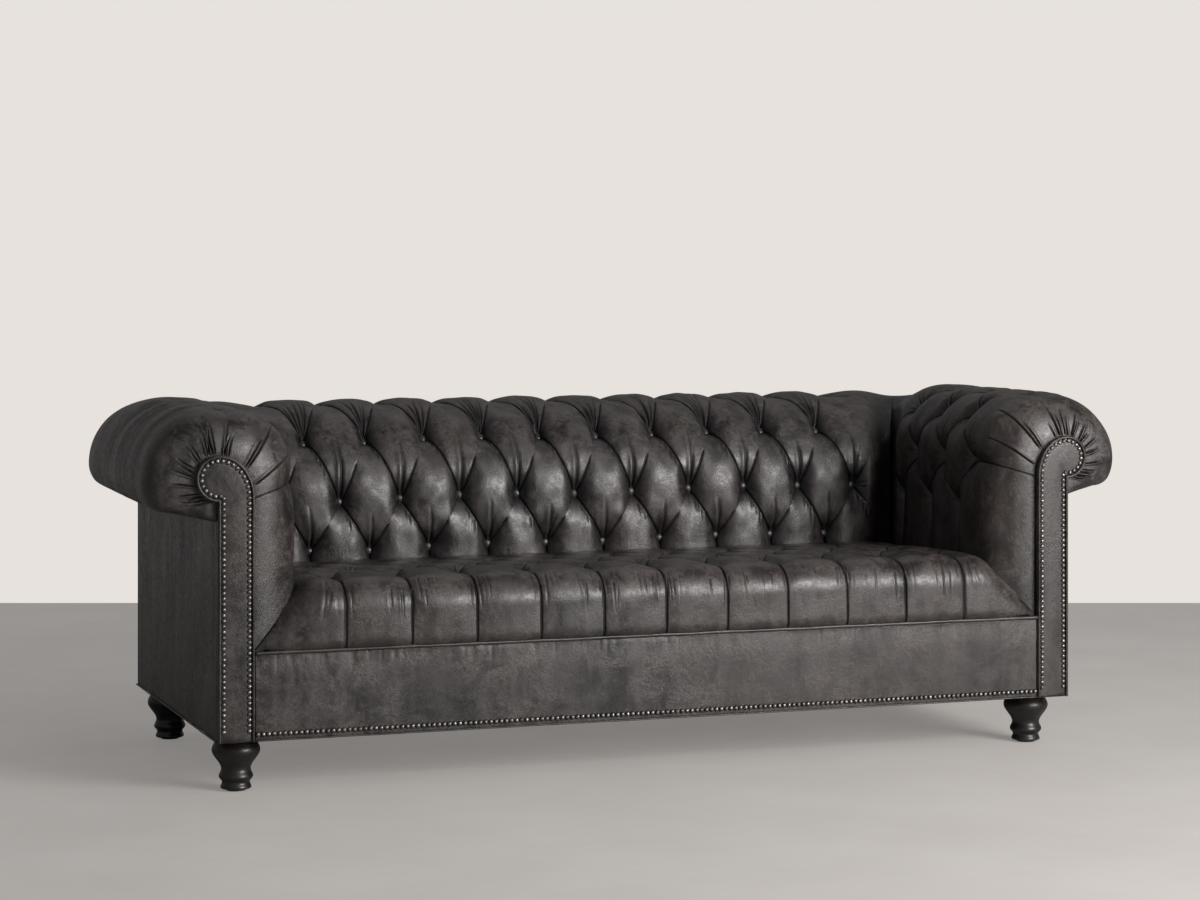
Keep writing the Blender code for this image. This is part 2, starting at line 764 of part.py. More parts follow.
def seat_places(sheet, outline):
    """Where a place on the seat lies; its front corners spread to the facings along the arms' noses."""
    nose_start = NOSE_FRONT + NOSE_DEPTH
    last = sheet.last
    turn_from = outline.where_falls(0, nose_start)
    turn_to = outline.reach[-1]
    hem = outline.points[-1][1]

    def place(along, across, high, column):
        y, z = outline.at(across) + outline.out(across) * (high - 1) * SEAT_TUFT_DEPTH
        side = np.sign(along)
        past = np.clip(1 - np.minimum(column, last - column), 0, 1)
        turn = np.clip((turn_to - across) / (turn_to - turn_from), 0, 1) * math.pi / 2
        flat_y, flat_z = outline.at(across)
        on_nose = across > turn_from
        spread_x = (FACING_INNER - ARM_FACE) * (1 - np.sin(turn))
        spread_x = spread_x - SEAT_CLEARANCE * np.sin(2 * turn)
        edge_x = ARM_FACE - GAP + np.where(on_nose, spread_x, 0)
        nose_y = nose_start - (NOSE_DEPTH + SEAT_CLEARANCE) * np.cos(turn) - GAP
        seam_z = hem + (SEAT_TOP - SEAT_SIDE_DROP - hem) * np.sin(turn)
        edge_y = np.where(on_nose, nose_y, flat_y)
        edge_z = np.where(on_nose, seam_z, flat_z - SEAT_SIDE_DROP)
        inner = np.abs(sheet.columns[1][1])
        x = np.where(past > 0, inner + (edge_x - inner) * past, np.abs(along))
        y = np.where(across > 0, y + (edge_y - y) * past**3, flat_y)
        z = z + (edge_z - z) * past**3
        return np.stack([side * x, y, z], axis=1)

    return place


def even_columns(pitch, reach):
    """Column places across the sofa, in half pitches, for buttons at both ends."""
    pitches = max(3, round(2 * reach / pitch))
    last = 2 * pitches
    step = reach / pitches
    return [(column, (column - pitches) * step) for column in range(last + 1)], last


def build_inside_back():
    outline = back_outline()
    columns, last = even_columns(BUTTON_PITCH, ARM_FACE - CORNER_MARGIN)
    low = outline.where(1, SEAT_TOP - SEAT_DROP + BACK_LOW_ROW)
    crest = outline.where(1, BACK_TOP - 1e-5)
    girth = crest - low
    rows = [(-1, 0), (0, low), (1, low + BACK_MIDDLE_SHARE * girth)]
    rows += [(2, low + BACK_UPPER_SHARE * girth), (3, crest)]
    roll = BACK_ROLL_RADIUS
    stops = [math.radians(degrees) * roll for degrees in (25, 58, 90)]
    lip_start = (math.pi / 2 - LIP_ANGLE) * roll
    lip_end = lip_start + (math.pi / 2 + LIP_ANGLE) * LIP_RADIUS
    above = over_roll(rows, crest, stops + [lip_start, lip_end], outline)
    sheet = Buttoning(columns, rows, 0, (0, last), 3, False)
    grids = sheet.cells(CELL_STEPS, (-0.35, -1), above)
    return closed_cover("inside_back", sheet, grids, back_places(sheet, outline))


def over_roll(rows, crest, stops, outline):
    """Adds the rows past the crest and says where the cover is drawn on its way under the roll."""
    total = outline.reach[-1]
    last = rows[-1][0]
    rows.append((last + 1, crest + (total - crest)))
    return [stop / (total - crest) for stop in stops] + [1]


def build_inside_arm():
    outline = arm_outline()
    pitches = max(1, round((SEAT_DEPTH + CORNER_MARGIN - ARM_FIRST_BUTTON) / ARM_PITCH))
    step = (SEAT_DEPTH + CORNER_MARGIN - ARM_FIRST_BUTTON) / pitches / 2
    nose_arc = math.pi / 4 * (NOSE_DEPTH + FACING_INNER - ARM_FACE)
    front = NOSE_FRONT + NOSE_DEPTH - nose_arc
    last = 1 + 2 * pitches
    columns = [(-1, front)] + [(c, ARM_FIRST_BUTTON + (c - 1) * step) for c in range(1, last + 1)]
    low = outline.where(1, SEAT_TOP + ARM_LOW_ROW)
    middle = outline.where(1, SEAT_TOP + ARM_MIDDLE_ROW)
    crest = outline.where(1, ARM_TOP - 1e-5)
    rows = [(-1, 0), (0, low), (1, middle), (2, middle + ARM_UPPER_SHARE * (crest - middle))]
    rows.append((3, crest))
    flat = ARM_REACH - ARM_FACE - 2 * ARM_ROLL_RADIUS
    roll = ARM_ROLL_RADIUS
    stops = [flat + math.radians(degrees) * roll for degrees in (0, 30, 60, 90)]
    lip_start = flat + (math.pi / 2 - LIP_ANGLE) * roll
    lip_end = lip_start + (math.pi / 2 + LIP_ANGLE) * LIP_RADIUS
    above = over_roll(rows, crest, stops + [lip_start, lip_end], outline)
    sheet = Buttoning(columns, rows, 0, (1, last), 3, True)
    nose_column = 1 - 2 * (ARM_FIRST_BUTTON - NOSE_FRONT - NOSE_DEPTH) / (ARM_FIRST_BUTTON - front)
    ahead = nose_column + (-1 - nose_column) * np.linspace(0, 1, 6)
    grids = sheet.cells(CELL_STEPS, (-0.45, -1), above, ahead)
    return closed_cover("inside_arm_right", sheet, grids, arm_places(sheet, outline))


def build_seat():
    outline = seat_outline()
    columns, last = even_columns(BUTTON_PITCH, ARM_FACE - CORNER_MARGIN)
    first = outline.where_falls(0, SEAT_FIRST_ROW)
    rows = [(0, first)]
    for row in range(1, SEAT_ROWS):
        depth = SEAT_FIRST_ROW + row * SEAT_ROW_PITCH
        rows.append((row, outline.where_falls(0, depth)))
    rows.append((SEAT_ROWS, 0))
    total = outline.reach[-1]
    rows.insert(0, (-1, total))
    top_edge = outline.where_falls(0, SEAT_EDGE_RADIUS - SEAT_BULGE)
    turn = math.pi / 2 * SEAT_EDGE_RADIUS
    upright = total - SEAT_HEM_RADIUS * math.radians(70)
    nose = outline.where_falls(0, NOSE_FRONT + NOSE_DEPTH)
    places = [nose, top_edge, top_edge + turn / 2, top_edge + turn, upright]
    below = [-(place - first) / (total - first) for place in places] + [-1]
    sheet = Buttoning(columns, rows, 1, (0, last), SEAT_ROWS - 1, False)
    sheet.level_ends = []
    grids = sheet.cells(CELL_STEPS, below, (1,))
    return closed_cover("seat_cover", sheet, grids, seat_places(sheet, outline), ends_drop=True)


def keyhole_loop(sections, side, step=4):
    """A facing-shaped board's outline with few points: straight sides and stepped arcs."""
    column, shoulder, head, under, outer = sections
    pieces = [column[[0, -1]], shoulder[step::step], head[step::step], under[-1:]]
    pieces.append(outer[[0, -1]] if outer[0][0] < under[-1][0] else outer[-1:])
    loop = np.concatenate(pieces)
    loop[:, 0] *= side
    return loop[::side]


def build_front_post(name, side):
    """The arm stump: a scrolled board under the facing, cut back for the outside panel."""
    sections = facing_outline(inset=FACING_INSET, foot=BODY_BOTTOM + GAP)
    sections[4] = line((PANEL_INSIDE, sections[3][-1][1]), (PANEL_INSIDE, BODY_BOTTOM + GAP))
    post = plate(name, keyhole_loop(sections, side), POST_THICKNESS - GAP, hardwood)
    post.location.y = NOSE_FRONT + (POST_THICKNESS - GAP) / 2
    return post


def build_facing(name, side):
    facing = plate(name, keyhole_loop(facing_outline(), side, 3), FACING_THICKNESS, leather)
    facing.location.y = FACING_THICKNESS / 2
    return facing


def trim_line(sections, side, y, foot):
    """The line that a welt or a nail strip follows on a facing."""
    column, shoulder, head, under, outer = sections
    pieces = [column[[0, -1]], shoulder[3::3], head[3::3], under[-1:], outer[-1:]]
    points = np.concatenate(pieces)
    points[:, 1] = np.maximum(points[:, 1], foot)
    return [(side * x, y, z) for x, z in points]


def nail_strip(name, points, finish):
    """Nail trim: a low band along a line on the front, as wide as the nails' heads."""
    points = np.array(points)
    along = np.diff(points[:, [0, 2]], axis=0)
    along /= np.linalg.norm(along, axis=1)[:, None]
    before = np.vstack([along[:1], along])
    after = np.vstack([along, along[-1:]])
    mitre = before + after
    mitre /= (1 + np.sum(before * after, axis=1))[:, None]
    half = TRIM_WIDTH / 2
    section = [(-half, 0), (-half * 0.7, TRIM_HEIGHT * 0.7), (0, TRIM_HEIGHT)]
    section += [(half * 0.7, TRIM_HEIGHT * 0.7), (half, 0)]
    rings = []
    for across, proud in section:
        shift = np.stack([-mitre[:, 1], 0 * mitre[:, 0], mitre[:, 0]], axis=1) * across
        rings.append(points + shift - (0, proud, 0))
    verts = np.stack(rings, axis=1).reshape(-1, 3)
    wide = len(section)
    faces = [list(range(wide)), list(range(len(verts) - wide, len(verts)))]
    for ring in range(len(points) - 1):
        for k in range(wide):
            low, high = ring * wide + k, ring * wide + (k + 1) % wide
            faces.append([low, high, high + wide, low + wide])
    mesh = bpy.data.meshes.new(name)
    mesh.from_pydata(verts.tolist(), [], faces)
    weld(mesh)
    return make_object(name, mesh, finish)


def arm_cutters():
    """The spaces that the frame fills inside the covers."""
    far = HALF_WIDTH + GAP
    deep = BODY_DEPTH + GAP
    low = COVER_BOTTOM - CUT_MARGIN
    back = as_cutter(
        box("frame_space_back", (-far, BACK_CAVITY, low), (far, deep, BACK_CAVITY_TOP), steel)
    )
    spaces = {}
    for side, word in SIDES:
        x = sorted((side * ARM_CAVITY, side * (far + SHY)))
        start = (x[0], POST_BACK, low - SHY)
        arm = box(f"frame_space_{word}", start, (x[1], deep + SHY, ARM_CAVITY_TOP), steel)
        slot_x = sorted((side * PANEL_INSIDE, side * far))
        slot = box(
            f"panel_slot_{word}",
            (slot_x[0], 0, low - 2 * SHY),
            (slot_x[1], POST_BACK + GAP, facing_notch() - GAP),
            steel,
        )
        sections = facing_outline(inset=FACING_INSET - GAP, foot=low - 3 * SHY)
        loop = keyhole_loop(sections, side)
        post = plate(f"post_space_{word}", loop, 2 * (POST_BACK + SHY), steel)
        spaces[side] = (as_cutter(arm), as_cutter(slot), as_cutter(post))
    return back, spaces


def facing_notch():
    """The height at which the facing's head meets the outer edge of its post."""
    return facing_outline()[3][-1][1]


def leg_profile():
    """A turned leg from the bolt hole in its top to its foot; the radius eases between stations."""
    height = LEG_HEIGHT - 2 * GAP - CLOTH
    hole = BOLT_RADIUS + GAP
    profile = [(0, height - BOLT_IN_LEG), (hole, height - BOLT_IN_LEG), (hole, height)]
    stations = [
        (LEG_TOP_RADIUS, height),
        (LEG_BULB_RADIUS, height * LEG_BULB_SHARE),
        (LEG_NECK_RADIUS, height * LEG_NECK_SHARE),
        (LEG_BEAD_RADIUS, height * LEG_BEAD_SHARE),
        (LEG_GROOVE_RADIUS, height * LEG_GROOVE_SHARE),
        (LEG_FOOT_RADIUS, height * LEG_FOOT_SHARE),
    ]
    profile.append(stations[0])
    for (r0, z0), (r1, z1) in zip(stations, stations[1:]):
        steps = 4 if z0 - z1 > 0.03 else 2
        for share in np.linspace(0, 1, steps + 1)[1:]:
            ease = (1 - math.cos(math.pi * share)) / 2
            profile.append((r0 + (r1 - r0) * ease, z0 + (z1 - z0) * share))
    base = LEG_FOOT_RADIUS - 0.002
    profile += [(base, GLIDE_HEIGHT + GAP), (0, GLIDE_HEIGHT + GAP)]
    return profile


def build_corner(name_end, side, front):
    """A leg, its bolt, its glide and the block that the bolt screws into."""
    x = side * (HALF_WIDTH - LEG_SIDE_INSET)
    y = LEG_END_INSET if front else BODY_DEPTH - LEG_END_INSET
    leg_top = LEG_HEIGHT - 2 * GAP - CLOTH
    turned(f"leg_{name_end}", leg_profile(), black_wood, (x, y, 0))
    glide = [(0, GLIDE_HEIGHT), (GLIDE_RADIUS, GLIDE_HEIGHT), (GLIDE_RADIUS, 0), (0, 0)]
    turned(f"glide_{name_end}", glide, nylon, (x, y, 0))
    rail_inside = PANEL_INSIDE - RAIL_THICKNESS
    block_x = sorted((side * (rail_inside - GAP), side * (rail_inside - BLOCK_SIDE)))
    block_y = (POST_BACK + GAP, POST_BACK + BLOCK_SIDE)
    if not front:
        block_y = (REAR_POST_FRONT - BLOCK_SIDE, REAR_POST_FRONT - GAP)
    bottom = BODY_BOTTOM + GAP
    low = (block_x[0], block_y[0], bottom)
    high = (block_x[1], block_y[1], bottom + BLOCK_HEIGHT)
    block = box(f"corner_block_{name_end}", low, high, hardwood)
    start = leg_top - BOLT_IN_LEG + GAP
    stop = bottom + BOLT_IN_BLOCK
    bolt = [(0, stop), (BOLT_RADIUS, stop), (BOLT_RADIUS, start), (0, start)]
    turned(f"leg_bolt_{name_end}", bolt, steel, (x, y, 0), 12)
    wide = BOLT_RADIUS + GAP
    deep = BODY_BOTTOM - BLOCK_HEIGHT
    hole = [(0, stop + GAP), (wide, stop + GAP), (wide, deep), (0, deep)]
    hole = as_cutter(turned(f"bolt_hole_{name_end}", hole, steel, (x, y, 0), 12))
    cut(block, hole)


def build_base():
    """The seat frame: four rails, two stretchers and the corner blocks with the legs."""
    low = BODY_BOTTOM + GAP
    post_inside = FACING_INNER + FACING_INSET
    front_y = (RAIL_FRONT, RAIL_FRONT + RAIL_THICKNESS)
    back_y = (PANEL_FRONT - RAIL_THICKNESS, PANEL_FRONT)
    x = post_inside - GAP
    box("front_rail", (-x, front_y[0], low), (x, front_y[1], APRON_TOP), hardwood)
    x = REAR_POST_INSIDE - GAP
    box("back_rail", (-x, back_y[0], low), (x, back_y[1], APRON_TOP), hardwood)
    for side, word in SIDES:
        x = sorted((side * PANEL_INSIDE, side * (PANEL_INSIDE - RAIL_THICKNESS)))
        start = (x[0], POST_BACK + GAP, low)
        box(f"side_rail_{word}", start, (x[1], REAR_POST_FRONT - GAP, APRON_TOP), hardwood)
        x = side * STRETCHER_SPACING / 2
        top = APRON_TOP - STRETCHER_DROP
        start = (x - STRETCHER_WIDTH / 2, front_y[1] + GAP, top - STRETCHER_HEIGHT)
        end = (x + STRETCHER_WIDTH / 2, back_y[0] - GAP, top)
        box(f"seat_stretcher_{word}", start, end, hardwood)
        build_corner(f"front_{word}", side, True)
        build_corner(f"rear_{word}", side, False)


def build_uppers():
    """The posts and rails that carry the arms and the back."""
    low = BODY_BOTTOM + GAP
    liner = COVER_BOTTOM + LINER_LIFT
    for side, word in SIDES:
        build_front_post(f"arm_front_post_{word}", side)
        x = sorted((side * REAR_POST_INSIDE, side * PANEL_INSIDE))
        start = (x[0], REAR_POST_FRONT, low)
        box(f"rear_post_{word}", start, (x[1], PANEL_FRONT, BACK_CAVITY_TOP - GAP), hardwood)
        x = sorted((side * ARM_RAIL_INSIDE, side * PANEL_INSIDE))
        top = ARM_CAVITY_TOP - GAP
        start = (x[0], POST_BACK + GAP, top - TOP_RAIL_HEIGHT)
        box(f"arm_top_rail_{word}", start, (x[1], REAR_POST_FRONT - GAP, top), hardwood)
        x = sorted((side * ARM_RAIL_INSIDE, side * (ARM_RAIL_INSIDE + LINER_THICKNESS)))
        start = (x[0], POST_BACK + GAP, liner)
        end = (x[1], REAR_POST_FRONT - GAP, liner + LINER_HEIGHT)
        box(f"arm_tack_rail_{word}", start, end, hardwood)
        x = between_straps(side * HALF_WIDTH / 3)
        start = (x - UPRIGHT_WIDTH / 2, PANEL_FRONT - RAIL_THICKNESS, APRON_TOP + GAP)
        end = (x + UPRIGHT_WIDTH / 2, PANEL_FRONT, BACK_CAVITY_TOP - TOP_RAIL_HEIGHT - 2 * GAP)
        box(f"back_upright_{word}", start, end, hardwood)
    top = BACK_CAVITY_TOP - GAP
    x = REAR_POST_INSIDE - GAP
    start = (-x, REAR_POST_FRONT + GAP, top - TOP_RAIL_HEIGHT)
    box("back_top_rail", start, (x, PANEL_FRONT, top), hardwood)
    x = ARM_RAIL_INSIDE - GAP
    end = BACK_RAIL_FRONT + LINER_THICKNESS
    start = (-x, BACK_RAIL_FRONT, top - TOP_RAIL_HEIGHT)
    box("back_scroll_rail", start, (x, end, top), hardwood)
    box("back_tack_rail", (-x, BACK_RAIL_FRONT, liner), (x, end, liner + LINER_HEIGHT), hardwood)


def between_straps(x):
    """The middle of the gap between two lengthwise straps that is nearest to a place."""
    side = PANEL_INSIDE - WEB_INSET
    pitch = 2 * side / WEB_COLUMNS
    return round((x + side) / pitch) * pitch - side


def strap_lines(reach_low, reach_high, count, width):
    """The edges of evenly spaced straps between two limits, with the limits themselves."""
    pitch = (reach_high - reach_low) / count
    centres = reach_low + pitch * (np.arange(count) + 0.5)
    edges = np.stack([centres - width / 2, centres + width / 2], axis=1).ravel()
    return np.concatenate([[reach_low], edges, [reach_high]])


def build_webbing():
    """Interlaced straps, tacked to the four seat rails."""
    side = PANEL_INSIDE - WEB_INSET
    front = RAIL_FRONT + WEB_INSET
    rear = PANEL_FRONT - WEB_INSET
    xs = strap_lines(-side, side, WEB_COLUMNS, WEB_WIDTH)
    ys = strap_lines(front, rear, WEB_ROWS, WEB_WIDTH)
    shape = bmesh.new()
    grid = [[shape.verts.new((x, y, 0)) for y in ys] for x in xs]
    for i in range(len(xs) - 1):
        for j in range(len(ys) - 1):
            if i % 2 or j % 2:
                corners = (grid[i][j], grid[i + 1][j], grid[i + 1][j + 1], grid[i][j + 1])
                shape.faces.new(corners)
    loose = [vertex for vertex in shape.verts if not vertex.link_faces]
    bmesh.ops.delete(shape, geom=loose, context="VERTS")
    mesh = bpy.data.meshes.new("seat_webbing")
    shape.to_mesh(mesh)
    shape.free()
    webbing = make_object("seat_webbing", mesh, jute)
    webbing.location.z = APRON_TOP + GAP
    thick = webbing.modifiers.new("thickness", "SOLIDIFY")
    thick.thickness = WEB_THICKNESS
    thick.offset = 1


def build_linings():
    """Hessian under the seat, in the arms and the back, the seat foam and the dust cover."""
    low = APRON_TOP + WEB_THICKNESS + 2 * GAP
    side = ARM_CAVITY - GAP
    rear = BACK_CAVITY - GAP
    start = (-side, POST_BACK + GAP, low)
    box("seat_hessian", start, (side, rear, low + CLOTH), hessian)
    foam = ARM_FACE - FOAM_MARGIN - GAP
    start = (-foam, FOAM_MARGIN + GAP, COVER_BOTTOM)
    end = (foam, SEAT_DEPTH - FOAM_MARGIN - GAP, COVER_BOTTOM + SEAT_FOAM_HEIGHT - GAP)
    box("seat_foam", start, end, foam_rubber)
    y = (BACK_CAVITY + GAP, BACK_CAVITY + GAP + CLOTH)
    x = ARM_CAVITY
    start = (-x, y[0], COVER_BOTTOM + LINER_LIFT)
    box("back_hessian", start, (x, y[1], BACK_CAVITY_TOP - GAP), hessian)
    for side, word in SIDES:
        x = sorted((side * (ARM_CAVITY + GAP), side * (ARM_CAVITY + GAP + CLOTH)))
        start = (x[0], POST_BACK + GAP, COVER_BOTTOM + LINER_LIFT)
        end = (x[1], BACK_CAVITY, ARM_CAVITY_TOP - GAP)
        box(f"arm_hessian_{word}", start, end, hessian)
    edge = HALF_WIDTH - DUST_INSET
    notch = HALF_WIDTH - LEG_SIDE_INSET - LEG_BULB_RADIUS - GAP
    near, far = DUST_INSET, BODY_DEPTH - DUST_INSET
    notch_near = LEG_END_INSET + LEG_BULB_RADIUS + GAP
    notch_far = BODY_DEPTH - notch_near
    quarter = [(edge, notch_near), (notch, notch_near), (notch, near)]
    rear_quarter = [(notch, far), (notch, notch_far), (edge, notch_far)]
    right = quarter[::-1] + rear_quarter[::-1]
    outline = right + [(-x, y) for x, y in right[::-1]]
    dust = plate("dust_cover", outline, CLOTH, black_cloth, upright=False)
    dust.location.z = BODY_BOTTOM - GAP - CLOTH / 2


def build_panels():
    """The flat leather-covered panels: the front apron, both sides and the back."""
    x = FACING_INNER - GAP
    box("front_apron", (-x, 0, BODY_BOTTOM), (x, APRON_THICKNESS, APRON_TOP), leather)
    top = facing_notch() - PANEL_TUCK
    for side, word in SIDES:
        x = sorted((side * (PANEL_INSIDE + GAP), side * HALF_WIDTH))
        start = (x[0], NOSE_FRONT, BODY_BOTTOM)
        end = (x[1], PANEL_FRONT, top)
        box(f"outside_arm_{word}", start, end, leather)
    start = (-HALF_WIDTH, PANEL_FRONT + GAP, BODY_BOTTOM)
    box("outside_back", start, (HALF_WIDTH, BODY_DEPTH, back_panel_top()), leather)


def back_panel_top():
    return back_outline().points[-1][1] + PANEL_TUCK


def build_trim():
    """The facings, the welts round them and under the seat, and the bands of nail trim."""
    for side, word in SIDES:
        build_facing(f"facing_{word}", side)
        sections = facing_outline(inset=FACING_WELT_RADIUS, foot=BODY_BOTTOM)
        y = -FACING_WELT_RADIUS - GAP
        points = trim_line(sections, side, y, BODY_BOTTOM)
        tube(f"facing_welt_{word}", points, FACING_WELT_RADIUS, leather)
        inset = 2 * FACING_WELT_RADIUS + TRIM_WIDTH / 2 + GAP
        sections = facing_outline(inset=inset, foot=BODY_BOTTOM)
        points = trim_line(sections, side, -GAP, BODY_BOTTOM + TRIM_INSET)
        nail_strip(f"nail_trim_{word}", points, bronze)
    x = FACING_INNER - GAP
    y = -WELT_RADIUS - GAP
    z = APRON_TOP + WELT_RADIUS / 2
    tube("seat_welt", [(-x, y, z), (0, y, z), (x, y, z)], WELT_RADIUS, leather)
    z = BODY_BOTTOM + TRIM_INSET + TRIM_WIDTH / 2
    nail_strip("nail_trim_front", [(-x, -GAP, z), (0, -GAP, z), (x, -GAP, z)], bronze)


def build_covers():
    """The three tufted covers and the seat, hollowed for the frame and the foam."""
    back_space, arm_spaces = arm_cutters()
    back = build_inside_back()
    cut(back, back_space)
    for side in (-1, 1):
        cut(back, arm_spaces[side][0])
    right = build_inside_arm()
    left = mirrored(right, "inside_arm_left", leather)
    for side, arm in ((-1, left), (1, right)):
        cut(arm, back_space)
        for space in arm_spaces[side]:
            cut(arm, space)
    seat = build_seat()
    foam = ARM_FACE - FOAM_MARGIN
    start = (-foam, FOAM_MARGIN, COVER_BOTTOM - CUT_MARGIN)
    end = (foam, SEAT_DEPTH - FOAM_MARGIN, COVER_BOTTOM + SEAT_FOAM_HEIGHT)
    cut(seat, as_cutter(box("foam_space", start, end, steel)))


clear_scene()
sofa = bpy.data.objects.new("sofa", None)
parts.objects.link(sofa)
sofa.location.y = -MIDDLE_Y
leather = material("distressed_leather", (0.022, 0.019, 0.019), 0.42)
hardwood = material("kiln_dried_hardwood", (0.42, 0.27, 0.14), 0.6)
black_wood = material("satin_black_wood", (0.012, 0.011, 0.011), 0.35)
bronze = material("antique_bronze", (0.10, 0.085, 0.07), 0.35, 1.0)
steel = material("zinc_steel", (0.55, 0.55, 0.55), 0.35, 1.0)
jute = material("jute_webbing", (0.36, 0.25, 0.13), 0.9)
hessian = material("hessian", (0.33, 0.24, 0.14), 0.95)
foam_rubber = material("foam", (0.75, 0.68, 0.48), 0.9)
black_cloth = material("black_cambric", (0.015, 0.015, 0.015), 0.95)
nylon = material("nylon_glide", (0.08, 0.08, 0.08), 0.5)
build_base()
build_uppers()
build_webbing()
build_linings()
build_panels()
build_covers()
build_trim()
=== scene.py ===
# %% [markdown]
# # Dressing a chesterfield sofa
#
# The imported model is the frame: it says where every piece is. This lesson covers it in
# leather. A deep-buttoned cover looks complicated, but it is one surface with two
# parameters, so almost everything below is a formula on whole numpy arrays.

import math

import bmesh
import bpy
import numpy as np
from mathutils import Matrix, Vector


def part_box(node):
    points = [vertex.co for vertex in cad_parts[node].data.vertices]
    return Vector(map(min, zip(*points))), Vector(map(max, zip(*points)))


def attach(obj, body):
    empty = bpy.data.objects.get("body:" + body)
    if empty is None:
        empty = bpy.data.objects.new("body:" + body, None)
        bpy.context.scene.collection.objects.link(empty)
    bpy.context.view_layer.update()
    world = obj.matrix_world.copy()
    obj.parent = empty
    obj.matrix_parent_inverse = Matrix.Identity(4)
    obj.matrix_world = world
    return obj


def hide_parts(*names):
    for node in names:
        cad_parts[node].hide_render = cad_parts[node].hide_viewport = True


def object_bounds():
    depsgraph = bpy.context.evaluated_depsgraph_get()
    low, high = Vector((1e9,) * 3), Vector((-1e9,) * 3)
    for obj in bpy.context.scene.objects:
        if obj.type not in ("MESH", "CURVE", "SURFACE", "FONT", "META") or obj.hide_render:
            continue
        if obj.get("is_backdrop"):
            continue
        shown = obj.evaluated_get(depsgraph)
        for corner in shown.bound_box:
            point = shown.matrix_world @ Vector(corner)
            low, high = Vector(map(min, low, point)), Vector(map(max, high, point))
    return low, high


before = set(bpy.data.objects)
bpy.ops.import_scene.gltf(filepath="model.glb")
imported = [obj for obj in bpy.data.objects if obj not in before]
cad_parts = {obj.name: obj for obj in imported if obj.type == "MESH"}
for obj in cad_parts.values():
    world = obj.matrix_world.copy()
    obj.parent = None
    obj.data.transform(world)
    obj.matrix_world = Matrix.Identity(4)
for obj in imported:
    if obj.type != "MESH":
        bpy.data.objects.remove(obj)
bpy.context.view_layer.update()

# %% [markdown]
# ## The sizes
#
# Metres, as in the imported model. Y is counted from the plane of the arm facings;
# `MIDDLE_Y` is taken off at the end, so that the sofa stands over the origin.

# %% Sizes
HALF_WIDTH, SEAT_DEPTH, BODY_DEPTH = 0.970, 0.562, 0.872
ARM_FACE, ARM_REACH, ARM_TOP = 0.795, 1.110, 0.787
BACK_REACH, BACK_TOP, SLOPE_START = 0.936, 0.763, 0.550
ARM_ROLL, BACK_ROLL, CORNER = 0.145, 0.136, 0.250
ARM_ROLL_Z, BACK_ROLL_Z = ARM_TOP - ARM_ROLL, BACK_TOP - BACK_ROLL
BACK_ROLL_Y = BACK_REACH - BACK_ROLL
CORNER_X, CORNER_Y = ARM_REACH - CORNER, BACK_REACH - CORNER
MITRE_X, MITRE_Y = CORNER_X - ARM_FACE, CORNER_Y - SEAT_DEPTH
MITRE_ANGLE = math.atan2(MITRE_Y, MITRE_X)
LIP_RADIUS, LIP_ANGLE = 0.038, math.radians(-22)
BODY_BOTTOM, APRON_TOP, COVER_BOTTOM = 0.112, 0.2905, 0.2941
SEAT_TOP, SEAT_DROP, SEAT_BULGE, SEAT_EDGE, SEAT_HEM = 0.433, 0.021, 0.012, 0.060, 0.018
SEAT_SIDE_DROP, SEAT_CLEARANCE = 0.018, 0.0024
NOSE_DEPTH, NOSE_FRONT = 0.090, 0.0103
FACING_INNER, INNER_SPRING, HEAD_TOP, HEAD_RADIUS = 0.8945, 0.610, 0.6975, 0.0475
HEAD_X, HEAD_Z = HALF_WIDTH - 0.002, HEAD_TOP - HEAD_RADIUS
TUFT_DEPTH, SEAT_TUFT_DEPTH, SWELL = 0.042, 0.031, 0.005
GROOVE_DEPTH, GROOVE_WIDTH, FADE, FAR = 0.0024, 0.0020, 0.012, 0.05
ROLL_RISE, LIP_RISE, RISE_FROM, RISE_TO, NOSE_SQUARE = 0.028, 0.020, 0.10, 0.76, 0.45
MARGIN, GAP, PANEL, WELT, FACING_WELT, EDGE_WELT = 0.0195, 0.0003, 0.008, 0.004, 0.003, 0.0017
BUTTON_RADIUS, BUTTON_HEIGHT, BUTTON_UP, BUTTON_TILT = 0.0112, 0.0072, 0.0110, 0.06
NAIL_RADIUS, NAIL_HEIGHT, NAIL_PITCH, NAIL_OUT, NAIL_TILT = 0.0053, 0.0045, 0.01125, 0.0012, 0.035
LEG_FROM_SIDE, LEG_FROM_END, LEG_CLEARANCE = 0.057, 0.091, 0.050
MIDDLE_Y = (BACK_REACH - SEAT_BULGE) / 2
STEPS = 48
SIDES = ((-1, "left"), (1, "right"))
print("steps along a pleat:", STEPS)

# %% [markdown]
# ## The camera
#
# The photo was taken level, from in front and to the left, with the lens shifted down
# instead of tilted, so the sofa's uprights stay upright in the picture.


# %% Camera
def new_object(name, data):
    """An object that is linked to the scene."""
    obj = bpy.data.objects.new(name, data)
    bpy.context.scene.collection.objects.link(obj)
    return obj


camera = new_object("camera", bpy.data.cameras.new("camera"))
camera.data.lens, camera.data.sensor_width, camera.data.shift_y = 88.04, 36.0, -0.1617
camera.location = (-2.241, -6.333, 1.1025)
camera.rotation_euler = (math.radians(90), 0, math.radians(-19.63))
bpy.context.scene.camera = camera
print("camera at", tuple(round(x, 2) for x in camera.location))

# %% [markdown]
# ## Materials
#
# Every finish is made of nodes that read the object's own coordinates, so a pattern stays
# where it is when the view changes. The leather also reads numbers that each vertex of a
# cover carries: how high and how worn it is there, and how far its folds are.


